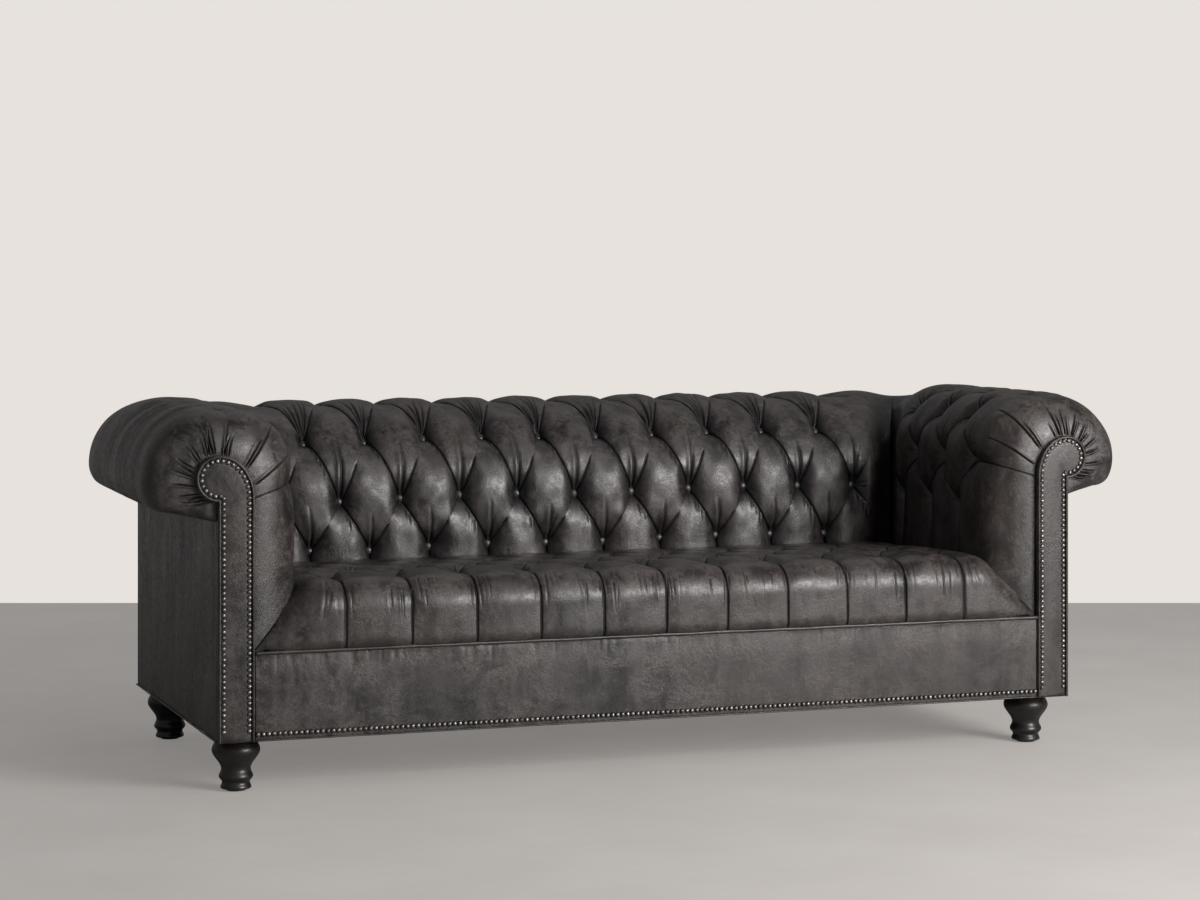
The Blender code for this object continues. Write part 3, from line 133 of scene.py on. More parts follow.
# %% Material helpers
class Nodes:
    """An empty node tree, and short ways to add nodes to it."""

    def __init__(self, tree):
        self.tree = tree
        tree.nodes.clear()

    def add(self, kind, settings=None, **inputs):
        """A new node; its inputs are named with _ for a space, or numbered i0, i1 and so on."""
        node = self.tree.nodes.new(kind)
        for key, value in (settings or {}).items():
            setattr(node, key, value)
        for key, value in inputs.items():
            key = int(key[1:]) if key[1:].isdigit() else key.replace("_", " ")
            self.put(node.inputs[key], value)
        return node

    def put(self, socket, value):
        """Links a socket to another one, or gives it a value."""
        if isinstance(value, bpy.types.NodeSocket):
            self.tree.links.new(value, socket)
        else:
            socket.default_value = value

    def math(self, operation, a, b):
        return self.add("ShaderNodeMath", {"operation": operation}, i0=a, i1=b).outputs[0]

    def times(self, a, b):
        return self.math("MULTIPLY", a, b)

    def plus(self, a, b):
        return self.math("ADD", a, b)


class Paint(Nodes):
    """A new material with the patterns that the finishes are made of."""

    def __init__(self, name):
        self.material = bpy.data.materials.new(name)
        self.material.use_nodes = True
        super().__init__(self.material.node_tree)
        self.shader = self.add("ShaderNodeBsdfPrincipled")
        self.add("ShaderNodeOutputMaterial", Surface=self.shader.outputs[0])
        self.coords = self.add("ShaderNodeTexCoord").outputs["Object"]

    def noise(self, scale, detail=4.0, roughness=0.55, distortion=0.0, stretch=None):
        """A cloudy pattern from 0 to 1; stretch multiplies the coordinates first."""
        at = self.coords
        if stretch:
            at = self.add("ShaderNodeMapping", Vector=at, Scale=stretch).outputs[0]
        look = {"Roughness": roughness, "Distortion": distortion}
        node = self.add("ShaderNodeTexNoise", Vector=at, Scale=scale, Detail=detail, **look)
        return node.outputs["Fac"]

    def cells(self, scale, feature="F1"):
        """The distance to the nearest of many scattered points or, by feature, to a border."""
        settings = {"feature": feature}
        node = self.add("ShaderNodeTexVoronoi", settings, Vector=self.coords, Scale=scale)
        return node.outputs["Distance"]

    def between(self, value, low, high, to_low=0.0, to_high=1.0):
        """Maps a range of a value to another range, clamped."""
        ends = {"From_Min": low, "From_Max": high, "To_Min": to_low, "To_Max": to_high}
        return self.add("ShaderNodeMapRange", Value=value, **ends).outputs[0]

    def blend(self, share, a, b):
        """A colour between two."""
        node = self.add("ShaderNodeMix", {"data_type": "RGBA"}, i0=share)
        for slot, value in ((6, a), (7, b)):
            linked = isinstance(value, bpy.types.NodeSocket)
            self.put(node.inputs[slot], value if linked else (*value, 1.0))
        return node.outputs[2]

    def line(self, distance, width, at=0.0):
        """A bell: e to the power of -(x / width)², with x how far it is from the middle."""
        x = self.math("DIVIDE", self.math("SUBTRACT", distance, at), width)
        return self.math("EXPONENT", self.times(self.times(x, x), -1.0), 0.5)

    def veins(self, scale, width):
        """Thin wandering lines, where a noise passes its middle value."""
        return self.line(self.noise(scale, 4.0, 0.6, 0.5), width, 0.5)

    def attribute(self, name):
        """A number that the mesh keeps at each vertex."""
        return self.add("ShaderNodeAttribute", {"attribute_name": name}).outputs["Fac"]

    def bumps(self, *layers):
        """Layers of relief, each a height, its size in metres and its strength."""
        normal = None
        for height, distance, strength in layers:
            inputs = {"Height": height, "Distance": distance, "Strength": strength}
            if normal is not None:
                inputs["Normal"] = normal
            normal = self.add("ShaderNodeBump", **inputs).outputs[0]
        return normal

    def finish(self, colour, roughness, normal, **others):
        """Gives the shader its inputs, and returns the material."""
        inputs = {"Base_Color": colour, "Roughness": roughness, "Normal": normal, **others}
        for key, value in inputs.items():
            self.put(self.shader.inputs[key.replace("_", " ")], value)
        return self.material


# %% Leather
def make_leather(name, worn=1.0):
    """Charcoal leather, rubbed lighter and browner where it is worn. Its folds, creases and pits
    get painted shade, near black, and the lips of its creases a painted highlight.

    `fold` is the distance to the nearest pleat, and `off` the distance to one side of the
    nearest crease, which is `size` strong there. Distances stay exact between vertices, so
    the lines that the shader draws from them are sharper than the mesh.
    """
    p = Paint(name)
    patches, marble = p.noise(2.3, 4.0, 0.6), p.noise(15, 8.0, 0.68, 0.8)
    specks, drag = p.noise(95, 5.0, 0.7), p.noise(3.0, 3.5, 0.55, 0.3, stretch=(9, 9, 1.1))
    rise, wear, size = p.attribute("rise"), p.attribute("wear"), p.attribute("size")
    # Painted shade: near-black lines along each pleat and crease, sharper than the mesh's own
    # valleys.
    pleat = p.line(p.attribute("fold"), 0.0017)
    crease = p.times(size, p.line(p.attribute("off"), 0.0016))
    # `lip` is a low bank beside each crease: part relief, and part a painted highlight in the
    # colour.
    lip = p.times(size, p.line(p.attribute("off"), 0.0019, 0.0040))
    # `dark` is where the folds get painted shade; it also makes them rougher.
    dark = p.math("MAXIMUM", pleat, crease)
    rubbed = p.times(p.between(specks, 0.44, 0.62), p.between(marble, 0.40, 0.60, 0.12, 1.0))
    rubbed = p.times(rubbed, p.times(wear, 1.15 * worn))
    dragged = p.times(p.between(drag, 0.46, 0.62), p.times(wear, 0.62 * worn))
    hairs = p.math("MAXIMUM", p.veins(24, 0.022), p.veins(62, 0.030))
    hairs = p.times(hairs, p.times(p.between(marble, 0.42, 0.58), p.between(wear, 0.1, 0.6)))
    base = p.blend(p.between(marble, 0.38, 0.64), (0.005, 0.0045, 0.0048), (0.0225, 0.02, 0.0205))
    layers = {
        "brown patches": (p.between(patches, 0.42, 0.62, 0.0, 0.65), (0.034, 0.0250, 0.0220)),
        "rubbed specks": (rubbed, (0.098, 0.081, 0.073)),
        "drags": (dragged, (0.082, 0.071, 0.068)),
        "scratches": (p.times(hairs, 0.50 * worn), (0.120, 0.102, 0.093)),
        # Painted shade, near black, where `rise` is low: in the pits, in the folds and round each
        # button's rim.
        "pits": (p.between(rise, 0.05, 0.60, 0.88, 0.0), (0.0030, 0.0026, 0.0026)),
        # Painted highlight along the lips of the creases.
        "painted highlights on crease lips": (p.times(lip, 0.60), (0.088, 0.077, 0.073)),
        # Painted shade, near black, along the pleats and creases.
        "folds": (p.times(dark, 0.92), (0.0020, 0.0018, 0.0018)),
    }
    for share, colour in layers.values():
        base = p.blend(share, base, colour)
    rough = p.between(marble, 0.32, 0.66, 0.29, 0.45)
    rough = p.plus(rough, p.between(specks, 0.38, 0.68, -0.03, 0.07))
    rough = p.plus(rough, p.between(drag, 0.40, 0.66, -0.03, 0.06))
    rough = p.plus(rough, p.between(rise, 0.0, 0.5, 0.20, 0.0))
    rough = p.plus(rough, p.times(dark, 0.35))
    normal = p.bumps(
        (p.between(p.cells(150, "DISTANCE_TO_EDGE"), 0.0, 0.14), 0.0002, 0.25),
        (p.noise(60, 6.0, 0.62), 0.0011, 0.38),
        (p.math("SUBTRACT", 1.0, p.cells(620)), 0.0004, 0.46),
        (p.math("SUBTRACT", 1.0, hairs), 0.0003, 0.8),
        (p.math("SUBTRACT", p.times(lip, 0.45), p.plus(pleat, crease)), 0.0024, 1.0),
    )
    wax = p.times(p.between(specks, 0.36, 0.62, 0.42, 0.05), p.between(rise, 0.1, 0.6, 0.2, 1.0))
    coat = {"Coat_Weight": wax, "Coat_Roughness": 0.30}
    return p.finish(base, rough, normal, Specular_IOR_Level=0.50, **coat)


leather = make_leather("distressed_leather")
# On a button `rise` grows from its rim to its crown, so the pits' painted shade blackens each rim.
button_leather = make_leather("button_leather", 0.6)


# %% Wood, metal, cloth, foam, floor
def make_wood(name, dark, light, roughness, grain_size, coat=0.0):
    """Grain: a noise stretched along the wood, and a finer one for its dark, rough pores."""
    p = Paint(name)
    rings = p.noise(3.0, 6.0, 0.6, 1.2, stretch=grain_size)
    fine = p.noise(40, 6.0, 0.7, 0.2, stretch=grain_size)
    colour = p.blend(p.between(rings, 0.35, 0.68), dark, light)
    colour = p.blend(p.between(fine, 0.55, 0.75, 0.0, 0.35), colour, dark)
    rough = p.between(fine, 0.3, 0.7, roughness - 0.06, roughness + 0.10)
    normal = p.bumps((fine, 0.0004, 0.35))
    return p.finish(colour, rough, normal, Coat_Weight=coat, Coat_Roughness=0.18)


def make_metal(name, bright, dark, roughness, painted_rim_shade=False):
    """Tarnished metal; heads may also get painted shade, near black, round their edge."""
    p = Paint(name)
    tarnish, pits = p.noise(120, 5.0, 0.65), p.noise(900, 3.0, 0.5)
    colour = p.blend(p.between(tarnish, 0.38, 0.62), dark, bright)
    if painted_rim_shade:
        # Painted shade round the edge of each head, where `rise` is low.
        rim = p.between(p.attribute("rise"), 0.25, 0.85, 0.95, 0.0)
        colour = p.blend(rim, colour, (0.012, 0.011, 0.010))
    rough = p.between(tarnish, 0.35, 0.65, roughness + 0.14, roughness)
    return p.finish(colour, rough, p.bumps((pits, 0.0002, 0.4)), Metallic=1.0)


def make_weave(name, dark, light, scale):
    """Threads: the product of two sine waves, and half of a third for the cloth's other side."""
    p = Paint(name)
    axes = p.add("ShaderNodeSeparateXYZ", Vector=p.coords).outputs
    waves = [p.math("SINE", p.times(axis, scale), 0.5) for axis in axes]
    threads = p.plus(p.times(waves[0], waves[1]), p.times(waves[2], 0.5))
    slubs = p.noise(45, 5.0, 0.7)
    colour = p.blend(p.between(p.plus(threads, slubs), -0.2, 1.5), dark, light)
    rough = p.between(slubs, 0.3, 0.7, 0.82, 0.98)
    return p.finish(colour, rough, p.bumps((threads, 0.0006, 0.6)), Sheen_Weight=0.15)


def make_plain(name, dark, light, scale, roughness, depth, glow=0.0):
    """A mottled finish: a broad noise for the colour and a fine one for the surface."""
    p = Paint(name)
    mottle, fine = p.noise(scale / 12, 5.0, 0.6), p.noise(scale, 4.0, 0.6)
    colour = p.blend(p.between(mottle, 0.35, 0.65), dark, light)
    rough = p.between(fine, 0.3, 0.7, roughness - 0.05, roughness + 0.05)
    shine = {}
    if glow:
        seen = p.add("ShaderNodeLightPath").outputs["Is Camera Ray"]
        shine = {"Emission_Color": colour, "Emission_Strength": p.times(seen, glow)}
    return p.finish(colour, rough, p.bumps((fine, depth, 0.5)), **shine)


def grey(value):
    """A colour with as much red as green and blue."""
    return (value, value, value)


black_wood = make_wood(
    "satin_black_wood", (0.0065, 0.0060, 0.0060), (0.016, 0.0145, 0.0135), 0.38, (3, 3, 0.5), 0.20
)
timber = make_wood("kiln_dried_hardwood", (0.30, 0.18, 0.09), (0.50, 0.34, 0.19), 0.62, (6, 1, 6))
# The nails' bronze paints shade round the rims of their heads.
bronze = make_metal("antique_bronze", (0.38, 0.355, 0.33), (0.10, 0.09, 0.083), 0.38, True)
steel = make_metal("zinc_steel", (0.62, 0.62, 0.60), (0.40, 0.41, 0.42), 0.32)
webbing = make_weave("jute_webbing", (0.22, 0.15, 0.07), (0.46, 0.34, 0.19), 2400)
hessian = make_weave("hessian", (0.20, 0.14, 0.08), (0.42, 0.32, 0.20), 1800)
dust_cloth = make_weave("black_cambric", grey(0.008), grey(0.022), 5200)
nylon = make_plain("nylon_glide", grey(0.05), grey(0.09), 300, 0.5, 0.0002)
foam = make_plain("foam", (0.66, 0.58, 0.38), (0.78, 0.71, 0.50), 900, 0.92, 0.0006)
pale, paler = (0.50, 0.475, 0.45), (0.53, 0.505, 0.48)
floor_paint = make_plain("pale_floor", pale, paler, 30, 0.6, 0.0, 0.40)
print("materials:", len(bpy.data.materials))

# %% [markdown]
# ## Outlines
#
# Each cover has an outline, as seen along its length: up the inside, over the roll and
# under it. `Outline` walks along it and answers by distance: where a point is, and which
# way is out.


# %% Outline
def arc(centre, radii, start, end, count=96):
    """Points on a circle or ellipse: centre plus radii times (cos, sin) of the angle."""
    angle = np.linspace(start, end, count)
    return centre + np.broadcast_to(radii, 2) * np.stack([np.cos(angle), np.sin(angle)], 1)


def line(start, end, count=60):
    """Evenly spaced points from one place to another."""
    return np.linspace(start, end, count)


def chained(sections):
    """Sections end to end, with each point that two of them share kept once."""
    return np.concatenate([sections[0]] + [section[1:] for section in sections[1:]])


def lengths(points):
    """How far along a line each of its points is."""
    steps = np.linalg.norm(np.diff(points, axis=0), axis=1)
    return np.concatenate([[0], np.cumsum(steps)])


def read(places, reach, values):
    """Each column of values, read at places along a line."""
    return np.stack([np.interp(places, reach, column) for column in values.T])


def resample(points, count):
    """The same line with evenly spaced points."""
    reach = lengths(points)
    return read(np.linspace(0, reach[-1], count), reach, points).T


class Outline:
    """A cover seen along its length; turn is -1 where the inside would be on its left."""

    def __init__(self, sections, turn=1):
        self.points = chained(sections)
        self.reach = lengths(self.points)
        slope = np.gradient(self.points, self.reach, axis=0)
        slope /= np.linalg.norm(slope, axis=1)[:, None]
        self.normal = np.stack([-slope[:, 1], slope[:, 0]], 1) * turn

    def at(self, distance):
        """Where the points at these distances are."""
        return read(distance, self.reach, self.points)

    def out(self, distance):
        """Which way is out at these distances, as steps of length 1."""
        way = read(distance, self.reach, self.normal)
        return way / np.linalg.norm(way, axis=0)

    def passes(self, axis, value, way=1):
        """The distance at which it first passes a value, rising or, with way -1, falling."""
        return self.reach[int(np.argmax(way * self.points[:, axis] >= way * value))]

    def set_roll(self, middle, wall, crest, corner, mitre, angle):
        """Where a rolled cover's crest, underside and rear corner are.

        `under` and `edge` are shares from 0 to 1: how far under the roll each point is, and
        how far out from the wall below it.
        """
        self.crest, self.corner, self.mitre, self.angle = crest, corner, mitre, angle
        level = np.abs(self.points[:, 1] - self.points[-1, 1]) < 1e-6
        self.tuck = self.reach[np.flatnonzero(level & (self.reach > self.reach[-1] / 2))[0]]
        side, height = self.points.T
        past = self.reach > self.reach[int(np.argmax(height))]
        self.under = np.clip((middle - height) / (middle - height[-1]), 0, 1) * past
        self.edge = np.clip((side - wall) / (self.at(self.tuck)[0] - wall), 0, 1)

    def rise(self, distance, share):
        """How much the leather under the roll is drawn up: first at the lip, then all of it."""
        under, edge = [np.interp(distance, self.reach, marks) for marks in (self.under, self.edge)]
        return under * (share * ROLL_RISE + (1 - share) * LIP_RISE * edge)


def roll(centre, radius, wall):
    """Over a roll from its crest, round the small arc of its lip and in to the wall."""
    drop = radius - LIP_RADIUS
    lip = (centre[0] + drop * math.cos(LIP_ANGLE), centre[1] + drop * math.sin(LIP_ANGLE))
    tuck = lip[1] - LIP_RADIUS
    return [
        arc(centre, radius, math.pi / 2, LIP_ANGLE, 120),
        arc(lip, LIP_RADIUS, LIP_ANGLE, -math.pi / 2, 40),
        line((lip[0], tuck), (wall, tuck), 40),
    ]


def into_wall(height):
    """A cover's last stretch, a little way into the side panel."""
    return line((HALF_WIDTH, height), (HALF_WIDTH - PANEL / 2, height), 2)


def arm_outline():
    """Straight up, over a quarter circle, a short flat top and the roll, and in to the wall."""
    inner, outer = (ARM_FACE + ARM_ROLL, ARM_ROLL_Z), (ARM_REACH - ARM_ROLL, ARM_ROLL_Z)
    over = roll(outer, ARM_ROLL, HALF_WIDTH)
    up = [
        line((ARM_FACE, COVER_BOTTOM), (ARM_FACE, ARM_ROLL_Z), 120),
        arc(inner, ARM_ROLL, math.pi, math.pi / 2),
        line((inner[0], ARM_TOP), (outer[0], ARM_TOP), 6),
    ]
    return Outline(up + over + [into_wall(over[-1][-1][1])])


def facing_outline(inset=0.0, foot=BODY_BOTTOM):
    """The facing's edge: up its inner side, round the head and down its outer side."""
    head, radius = (HEAD_X, HEAD_Z), HEAD_RADIUS - inset
    notch = -math.acos(min(1.0, (HALF_WIDTH - inset - HEAD_X) / radius))
    inner_radii = (HEAD_X - FACING_INNER - inset, HEAD_TOP - INNER_SPRING - inset)
    side, low = FACING_INNER + inset, HEAD_Z + radius * math.sin(notch)
    return [
        line((side, foot), (side, INNER_SPRING), 120),
        arc((HEAD_X, INNER_SPRING), inner_radii, math.pi, math.pi / 2, 60),
        arc(head, radius, math.pi / 2, math.radians(-45), 120),
        arc(head, radius, math.radians(-45), notch, 40),
        line((HALF_WIDTH - inset, low), (HALF_WIDTH - inset, foot), 60),
    ]


def nose_outline(outline):
    """The edge on which the arm's leather is tacked, point for point with its outline."""
    tuck = outline.points[-1][1]
    side, shoulder, head, under, _ = facing_outline(foot=COVER_BOTTOM)
    drop = line((HALF_WIDTH, under[-1][1]), (HALF_WIDTH, tuck), 40)
    return chained([side, resample(shoulder, 101), head, under, drop, into_wall(tuck)])


def back_outline():
    """Straight up, over a quarter of an ellipse that leans back, and over the roll."""
    slope = (BACK_ROLL_Y - SEAT_DEPTH, BACK_TOP - SLOPE_START)
    up = [
        line((SEAT_DEPTH, COVER_BOTTOM), (SEAT_DEPTH, SLOPE_START), 100),
        arc((BACK_ROLL_Y, SLOPE_START), slope, math.pi, math.pi / 2, 120),
    ]
    return Outline(up + roll((BACK_ROLL_Y, BACK_ROLL_Z), BACK_ROLL, BODY_DEPTH - PANEL / 2))


def seat_outline():
    """Forward over the top, which rises as a quarter of a sine, then down round two arcs."""
    front, rear = -SEAT_BULGE, SEAT_TOP - SEAT_DROP
    edge = (front + SEAT_EDGE, SEAT_TOP - SEAT_EDGE)
    hem = (front + SEAT_HEM, COVER_BOTTOM + SEAT_HEM)
    top = line((SEAT_DEPTH - GAP, rear), (edge[0], SEAT_TOP), 120)
    top[:, 1] = rear + SEAT_DROP * np.sin(np.linspace(0, math.pi / 2, 120))
    round_edge = arc(edge, SEAT_EDGE, math.pi / 2, math.pi)
    round_hem = arc(hem, SEAT_HEM, math.pi, math.radians(250), 30)
    face = line((front, edge[1]), (front, hem[1]), 40)
    return Outline([top, round_edge, face, round_hem], turn=-1)


arm_line, back_line, seat_line = arm_outline(), back_outline(), seat_outline()
ARM_CREST = arm_line.passes(1, ARM_TOP - 1e-5)
BACK_CREST = back_line.passes(1, BACK_TOP - 1e-5)
arm_line.set_roll(ARM_ROLL_Z, HALF_WIDTH, ARM_CREST, CORNER_X, MITRE_X, MITRE_ANGLE)
back_line.set_roll(
    BACK_ROLL_Z, BODY_DEPTH, BACK_CREST, CORNER_Y, MITRE_Y, math.pi / 2 - MITRE_ANGLE
)
print("girths:", [round(float(x.reach[-1]), 3) for x in (arm_line, back_line, seat_line)])

# %% [markdown]
# ## The buttoned sheet
#
# Count the sheet in half diamonds: a place is a column and a row, and a button sits where
# column plus row is even. Turn those two counts by 45 degrees and every pleat lies where
# one of them, `a` or `b`, is a whole number. Inside a diamond both run from -1 to 1, and
# the height is
#
# rise x (1 - a²b²)^0.72 + (1 - rise) x sqrt((1 - a²)(1 - b²))
#
# The second term is a dome that falls steeply to the pleats. The first keeps the pleats
# above the buttons, except at their ends, where the leather goes all the way down.
#
# One of the two sets of pleats is a real fold, and the other fades on its way up, so `b`
# is weakened there before it goes into the dome.


# %% Sheet
def spread(steps):
    """Places from -1 to 1, a little closer together near both ends."""
    even = np.linspace(-1, 1, steps + 1)
    return 0.5 * np.sin(even * math.pi / 2) + 0.5 * even


def smooth(share):
    """Eases from 0 to 1 with level ends: the share squared, times 3 less twice the share."""
    share = np.clip(share, 0, 1)
    return share * share * (3 - 2 * share)


def hill(x, width):
    """A bell: e to the power of minus the square of x over its width."""
    return np.exp(-((x / width) ** 2))


def pace(pairs, count):
    """Metres per count at each place of a list of (count, distance) pairs."""
    counts, reach = np.array(sorted(pairs), float).T
    steps = np.abs(np.diff(reach) / np.diff(counts))
    return steps[np.clip(np.searchsorted(counts, count) - 1, 0, len(steps) - 1)]


def in_cell(turned):
    """-1 to 1 from one pleat to the next, from one of the turned counts."""
    return np.mod(turned, 2) - 1


def off_pleat(turned):
    """0 at a pleat and 1 half-way to the next, from one of the turned counts."""
    return 1 - np.abs(in_cell(turned))


class Sheet:
    """A buttoned sheet: columns and rows as (count, distance) pairs.

    Pleats run between the first and last whole columns and the rows 0 to last_row. A first
    column of -1 is leather ahead of them, and ends that are level have no pits.
    """

    def __init__(self, columns, rows, seed, parity=0, **settings):
        self.columns, self.rows, self.parity = columns, rows, parity
        self.open_front = columns[0][0] < 0
        self.first, self.last = columns[1 if self.open_front else 0][0], columns[-1][0]
        self.last_row = rows[-1][0] - 1
        self.level_ends = [self.last] if self.open_front else [self.first, self.last]
        self.chance = np.random.default_rng(seed)
        self.fullness = self.chance.uniform(0.9, 1.0, (64, 64))
        self.waves = self.chance.uniform(-1, 1, (2, 6, 3)) * (0.9, 1.3, math.pi)
        self.rise, self.fill, self.crest_fill = 0.83, 0.75, 0.4
        self.low_fade, self.roll_fade, self.slack = 0.7, 0.42, 0.0009
        vars(self).update(settings)

    def along(self, column):
        """Metres along the sheet at each column."""
        return np.interp(column, *zip(*self.columns))

    def across(self, row):
        """Metres across the sheet at each row."""
        return np.interp(row, *zip(*self.rows))

    def wander(self, column, row):
        """Places a little off the even lattice, but not at the sheet's edges."""
        held = smooth(row + 1) * smooth(self.last_row + 1 - row)
        for end in (self.columns[0][0], self.last):
            held = held * (1 - hill(column - end, 0.8))
        shifts = [
            sum(np.sin(f * column + g * row + p) for f, g, p in waves) for waves in self.waves
        ]
        return column + 0.013 * held * shifts[0], row + 0.012 * held * shifts[1]

    def channel(self, across, hold):
        """Height across a straight channel: 1 half-way, less at its two pleats."""
        ridge = np.sqrt(np.maximum(1 - np.abs(across) ** 3 * hold, 0))
        return self.rise * ridge + (1 - self.rise) * np.sqrt(np.maximum(1 - across**2 * hold, 0))

    def to_pleat(self, column, row):
        """Metres to the nearest pleat, and more where a pleat fades away."""
        shifted, past = column + self.parity, row - self.last_row
        wide, tall = pace(self.columns, column), pace(self.rows, row)
        slant = wide * tall / np.hypot(wide, tall)
        fading = FADE * smooth((np.mod(shifted + row, 2) - 0.9) / 0.7)
        near = off_pleat(shifted - row) * slant + fading
        near = np.minimum(off_pleat(shifted + row) * slant, near)
        near = np.where(row < 0, off_pleat(shifted) * wide, near)
        over = off_pleat(shifted + self.last_row) * wide + FADE * smooth(past / 0.4)
        near = np.where(past > 0, over, near)
        if self.open_front:
            ahead = self.first - column
            beside = off_pleat(self.first + self.parity + row) * tall
            beside = beside + FADE * smooth(ahead) * (row > 1.5)
            corner = np.minimum(past * tall, ahead * wide) + FADE * smooth(past / 0.4 + ahead)
            front = np.where(past > 0, corner, np.where(row < 0, FAR, beside))
            near = np.where(ahead > 0, front, near)
        return near

    def height(self, column, row):
        """The share of the full tuft depth at each place."""
        shifted, past = column + self.parity, row - self.last_row
        a, b = in_cell(shifted + row), in_cell(shifted - row)
        cell = [np.floor((shifted + way * row) / 2).astype(int) % 64 for way in (1, -1)]
        ridge = np.maximum(1 - a**2 * b**2, 0) ** 0.72
        faded = b**2 * (1 - self.fill * smooth((a + 0.85) / 1.5))
        dome = np.sqrt(np.maximum((1 - a**2) * (1 - faded), 0)) * self.fullness[cell[0], cell[1]]
        high = self.rise * ridge + (1 - self.rise) * dome
        low = self.channel(in_cell(shifted), np.exp(row / self.low_fade))
        over = self.channel(in_cell(shifted + self.last_row), np.exp(-past / self.roll_fade))
        high = np.where(row < 0, low, np.where(past > 0, over, high))
        if self.open_front:
            ahead = self.first - column
            beside = np.where(row < 0, 0, in_cell(self.first + self.parity + row))
            turn = np.arctan2(np.maximum(past, 0), np.maximum(ahead, 1e-9)) / (math.pi / 4) - 1
            corner = self.channel(turn, np.exp(-np.hypot(past / self.roll_fade, ahead)))
            front = np.where(past > 0, corner, self.channel(beside, np.exp(-ahead)))
            high = np.where(ahead > 0, front, high)
        high = high + (1 - high) * self.crest_fill * hill(past, 0.45)
        for end in self.level_ends:
            high = high + (0.5 - high) * hill(column - end, 0.35)
        return high

    def is_button(self, column, row):
        return (column + row + self.parity) % 2 == 0

    def buttons(self, last_row):
        """The buttons' columns and rows, without those in the seams at the ends."""
        places = [(c, r) for r in range(last_row + 1) for c in range(self.first, self.last + 1)]
        return [p for p in places if self.is_button(*p) and p[0] not in self.level_ends]

    def cells(self, steps, below, above):
        """Grids of (column, row) that cover the sheet, with every pleat on a grid line."""
        grids, half = [], (spread(steps) + 1) / 2
        edge = np.concatenate([half - 1, half[1:]])
        below, above = np.linspace(0, 1, below)[:, None], np.linspace(0, 1, above)[:, None]
        low, high = -1.0, self.last_row + 1.0
        for column in range(self.first + self.open_front, self.last + 1):
            side = {self.first: edge[steps:], self.last: edge[: steps + 1]}.get(column, edge)
            for row in range(self.last_row + 1):
                if self.is_button(column, row):
                    continue
                if row == 0:
                    top = 1 - np.abs(side)
                    grids.append((column + side + 0 * below, top + (low - top) * below))
                elif row == self.last_row:
                    start = row - 1 + np.abs(side)
                    grids.append((column + side + 0 * above, start + (high - start) * above))
                elif column in (self.first, self.last):
                    inward = 1 if column == self.first else -1
                    wide = column + inward * half[:, None] * (1 - np.abs(edge))
                    grids.append((wide, row + edge + 0 * wide))
                else:
                    a, b = np.meshgrid(spread(steps), spread(steps))
                    grids.append((column + (a + b) / 2, row + (a - b) / 2))
        return grids

    def front_grids(self, steps, below, above, ahead, finer=4):
        """The leather ahead of the first column, joined to the zigzag of its pleats.

        Its folds are fine, so each step along the zigzag is drawn as several. A strip of
        many-sided faces leads from one spacing to the other.
        """
        half = (spread(steps) + 1) / 2
        below, above = np.linspace(0, 1, below), np.linspace(0, 1, above)
        start = self.first if self.is_button(self.first, 0) else self.first + 1
        rows, columns = [-below[::-1]], [np.full(len(below), float(start))]
        for row in range(self.last_row):
            rows.append(row + half[1:])
            inward = half if self.is_button(self.first, row) else 1 - half
            columns.append(self.first + inward[1:])
        rows.append(self.last_row + above[1:])
        columns.append(np.full(len(above) - 1, float(self.first)))
        coarse = np.stack([np.concatenate(columns), np.concatenate(rows)], axis=1)
        count = len(coarse)
        places = np.linspace(0, count - 1, finer * (count - 1) + 1)
        fine_columns, fine_rows = read(places, np.arange(count), coarse)
        stops = fine_columns + (-1 - fine_columns) * np.linspace(0, 1, ahead)[1:, None]
        first = np.stack([stops[0], fine_rows], axis=1)
        fans = [first[k : len(first) - finer + k : finer] for k in range(finer + 1)]
        strip = np.stack([coarse[1:], coarse[:-1]] + fans, axis=1)
        return [(stops, fine_rows + 0 * stops)], strip


# %% [markdown]
# ## Creases
#
# Leather that is pulled to a button gathers: short folds fan out from it. Each one is a
# narrow valley beside a low lip, along a slightly bowed line on the flat sheet, and it
# tapers to nothing at its far end. `Creases` adds them up and also keeps how dark each
# place gets: the painted shade that the leather puts in its folds.


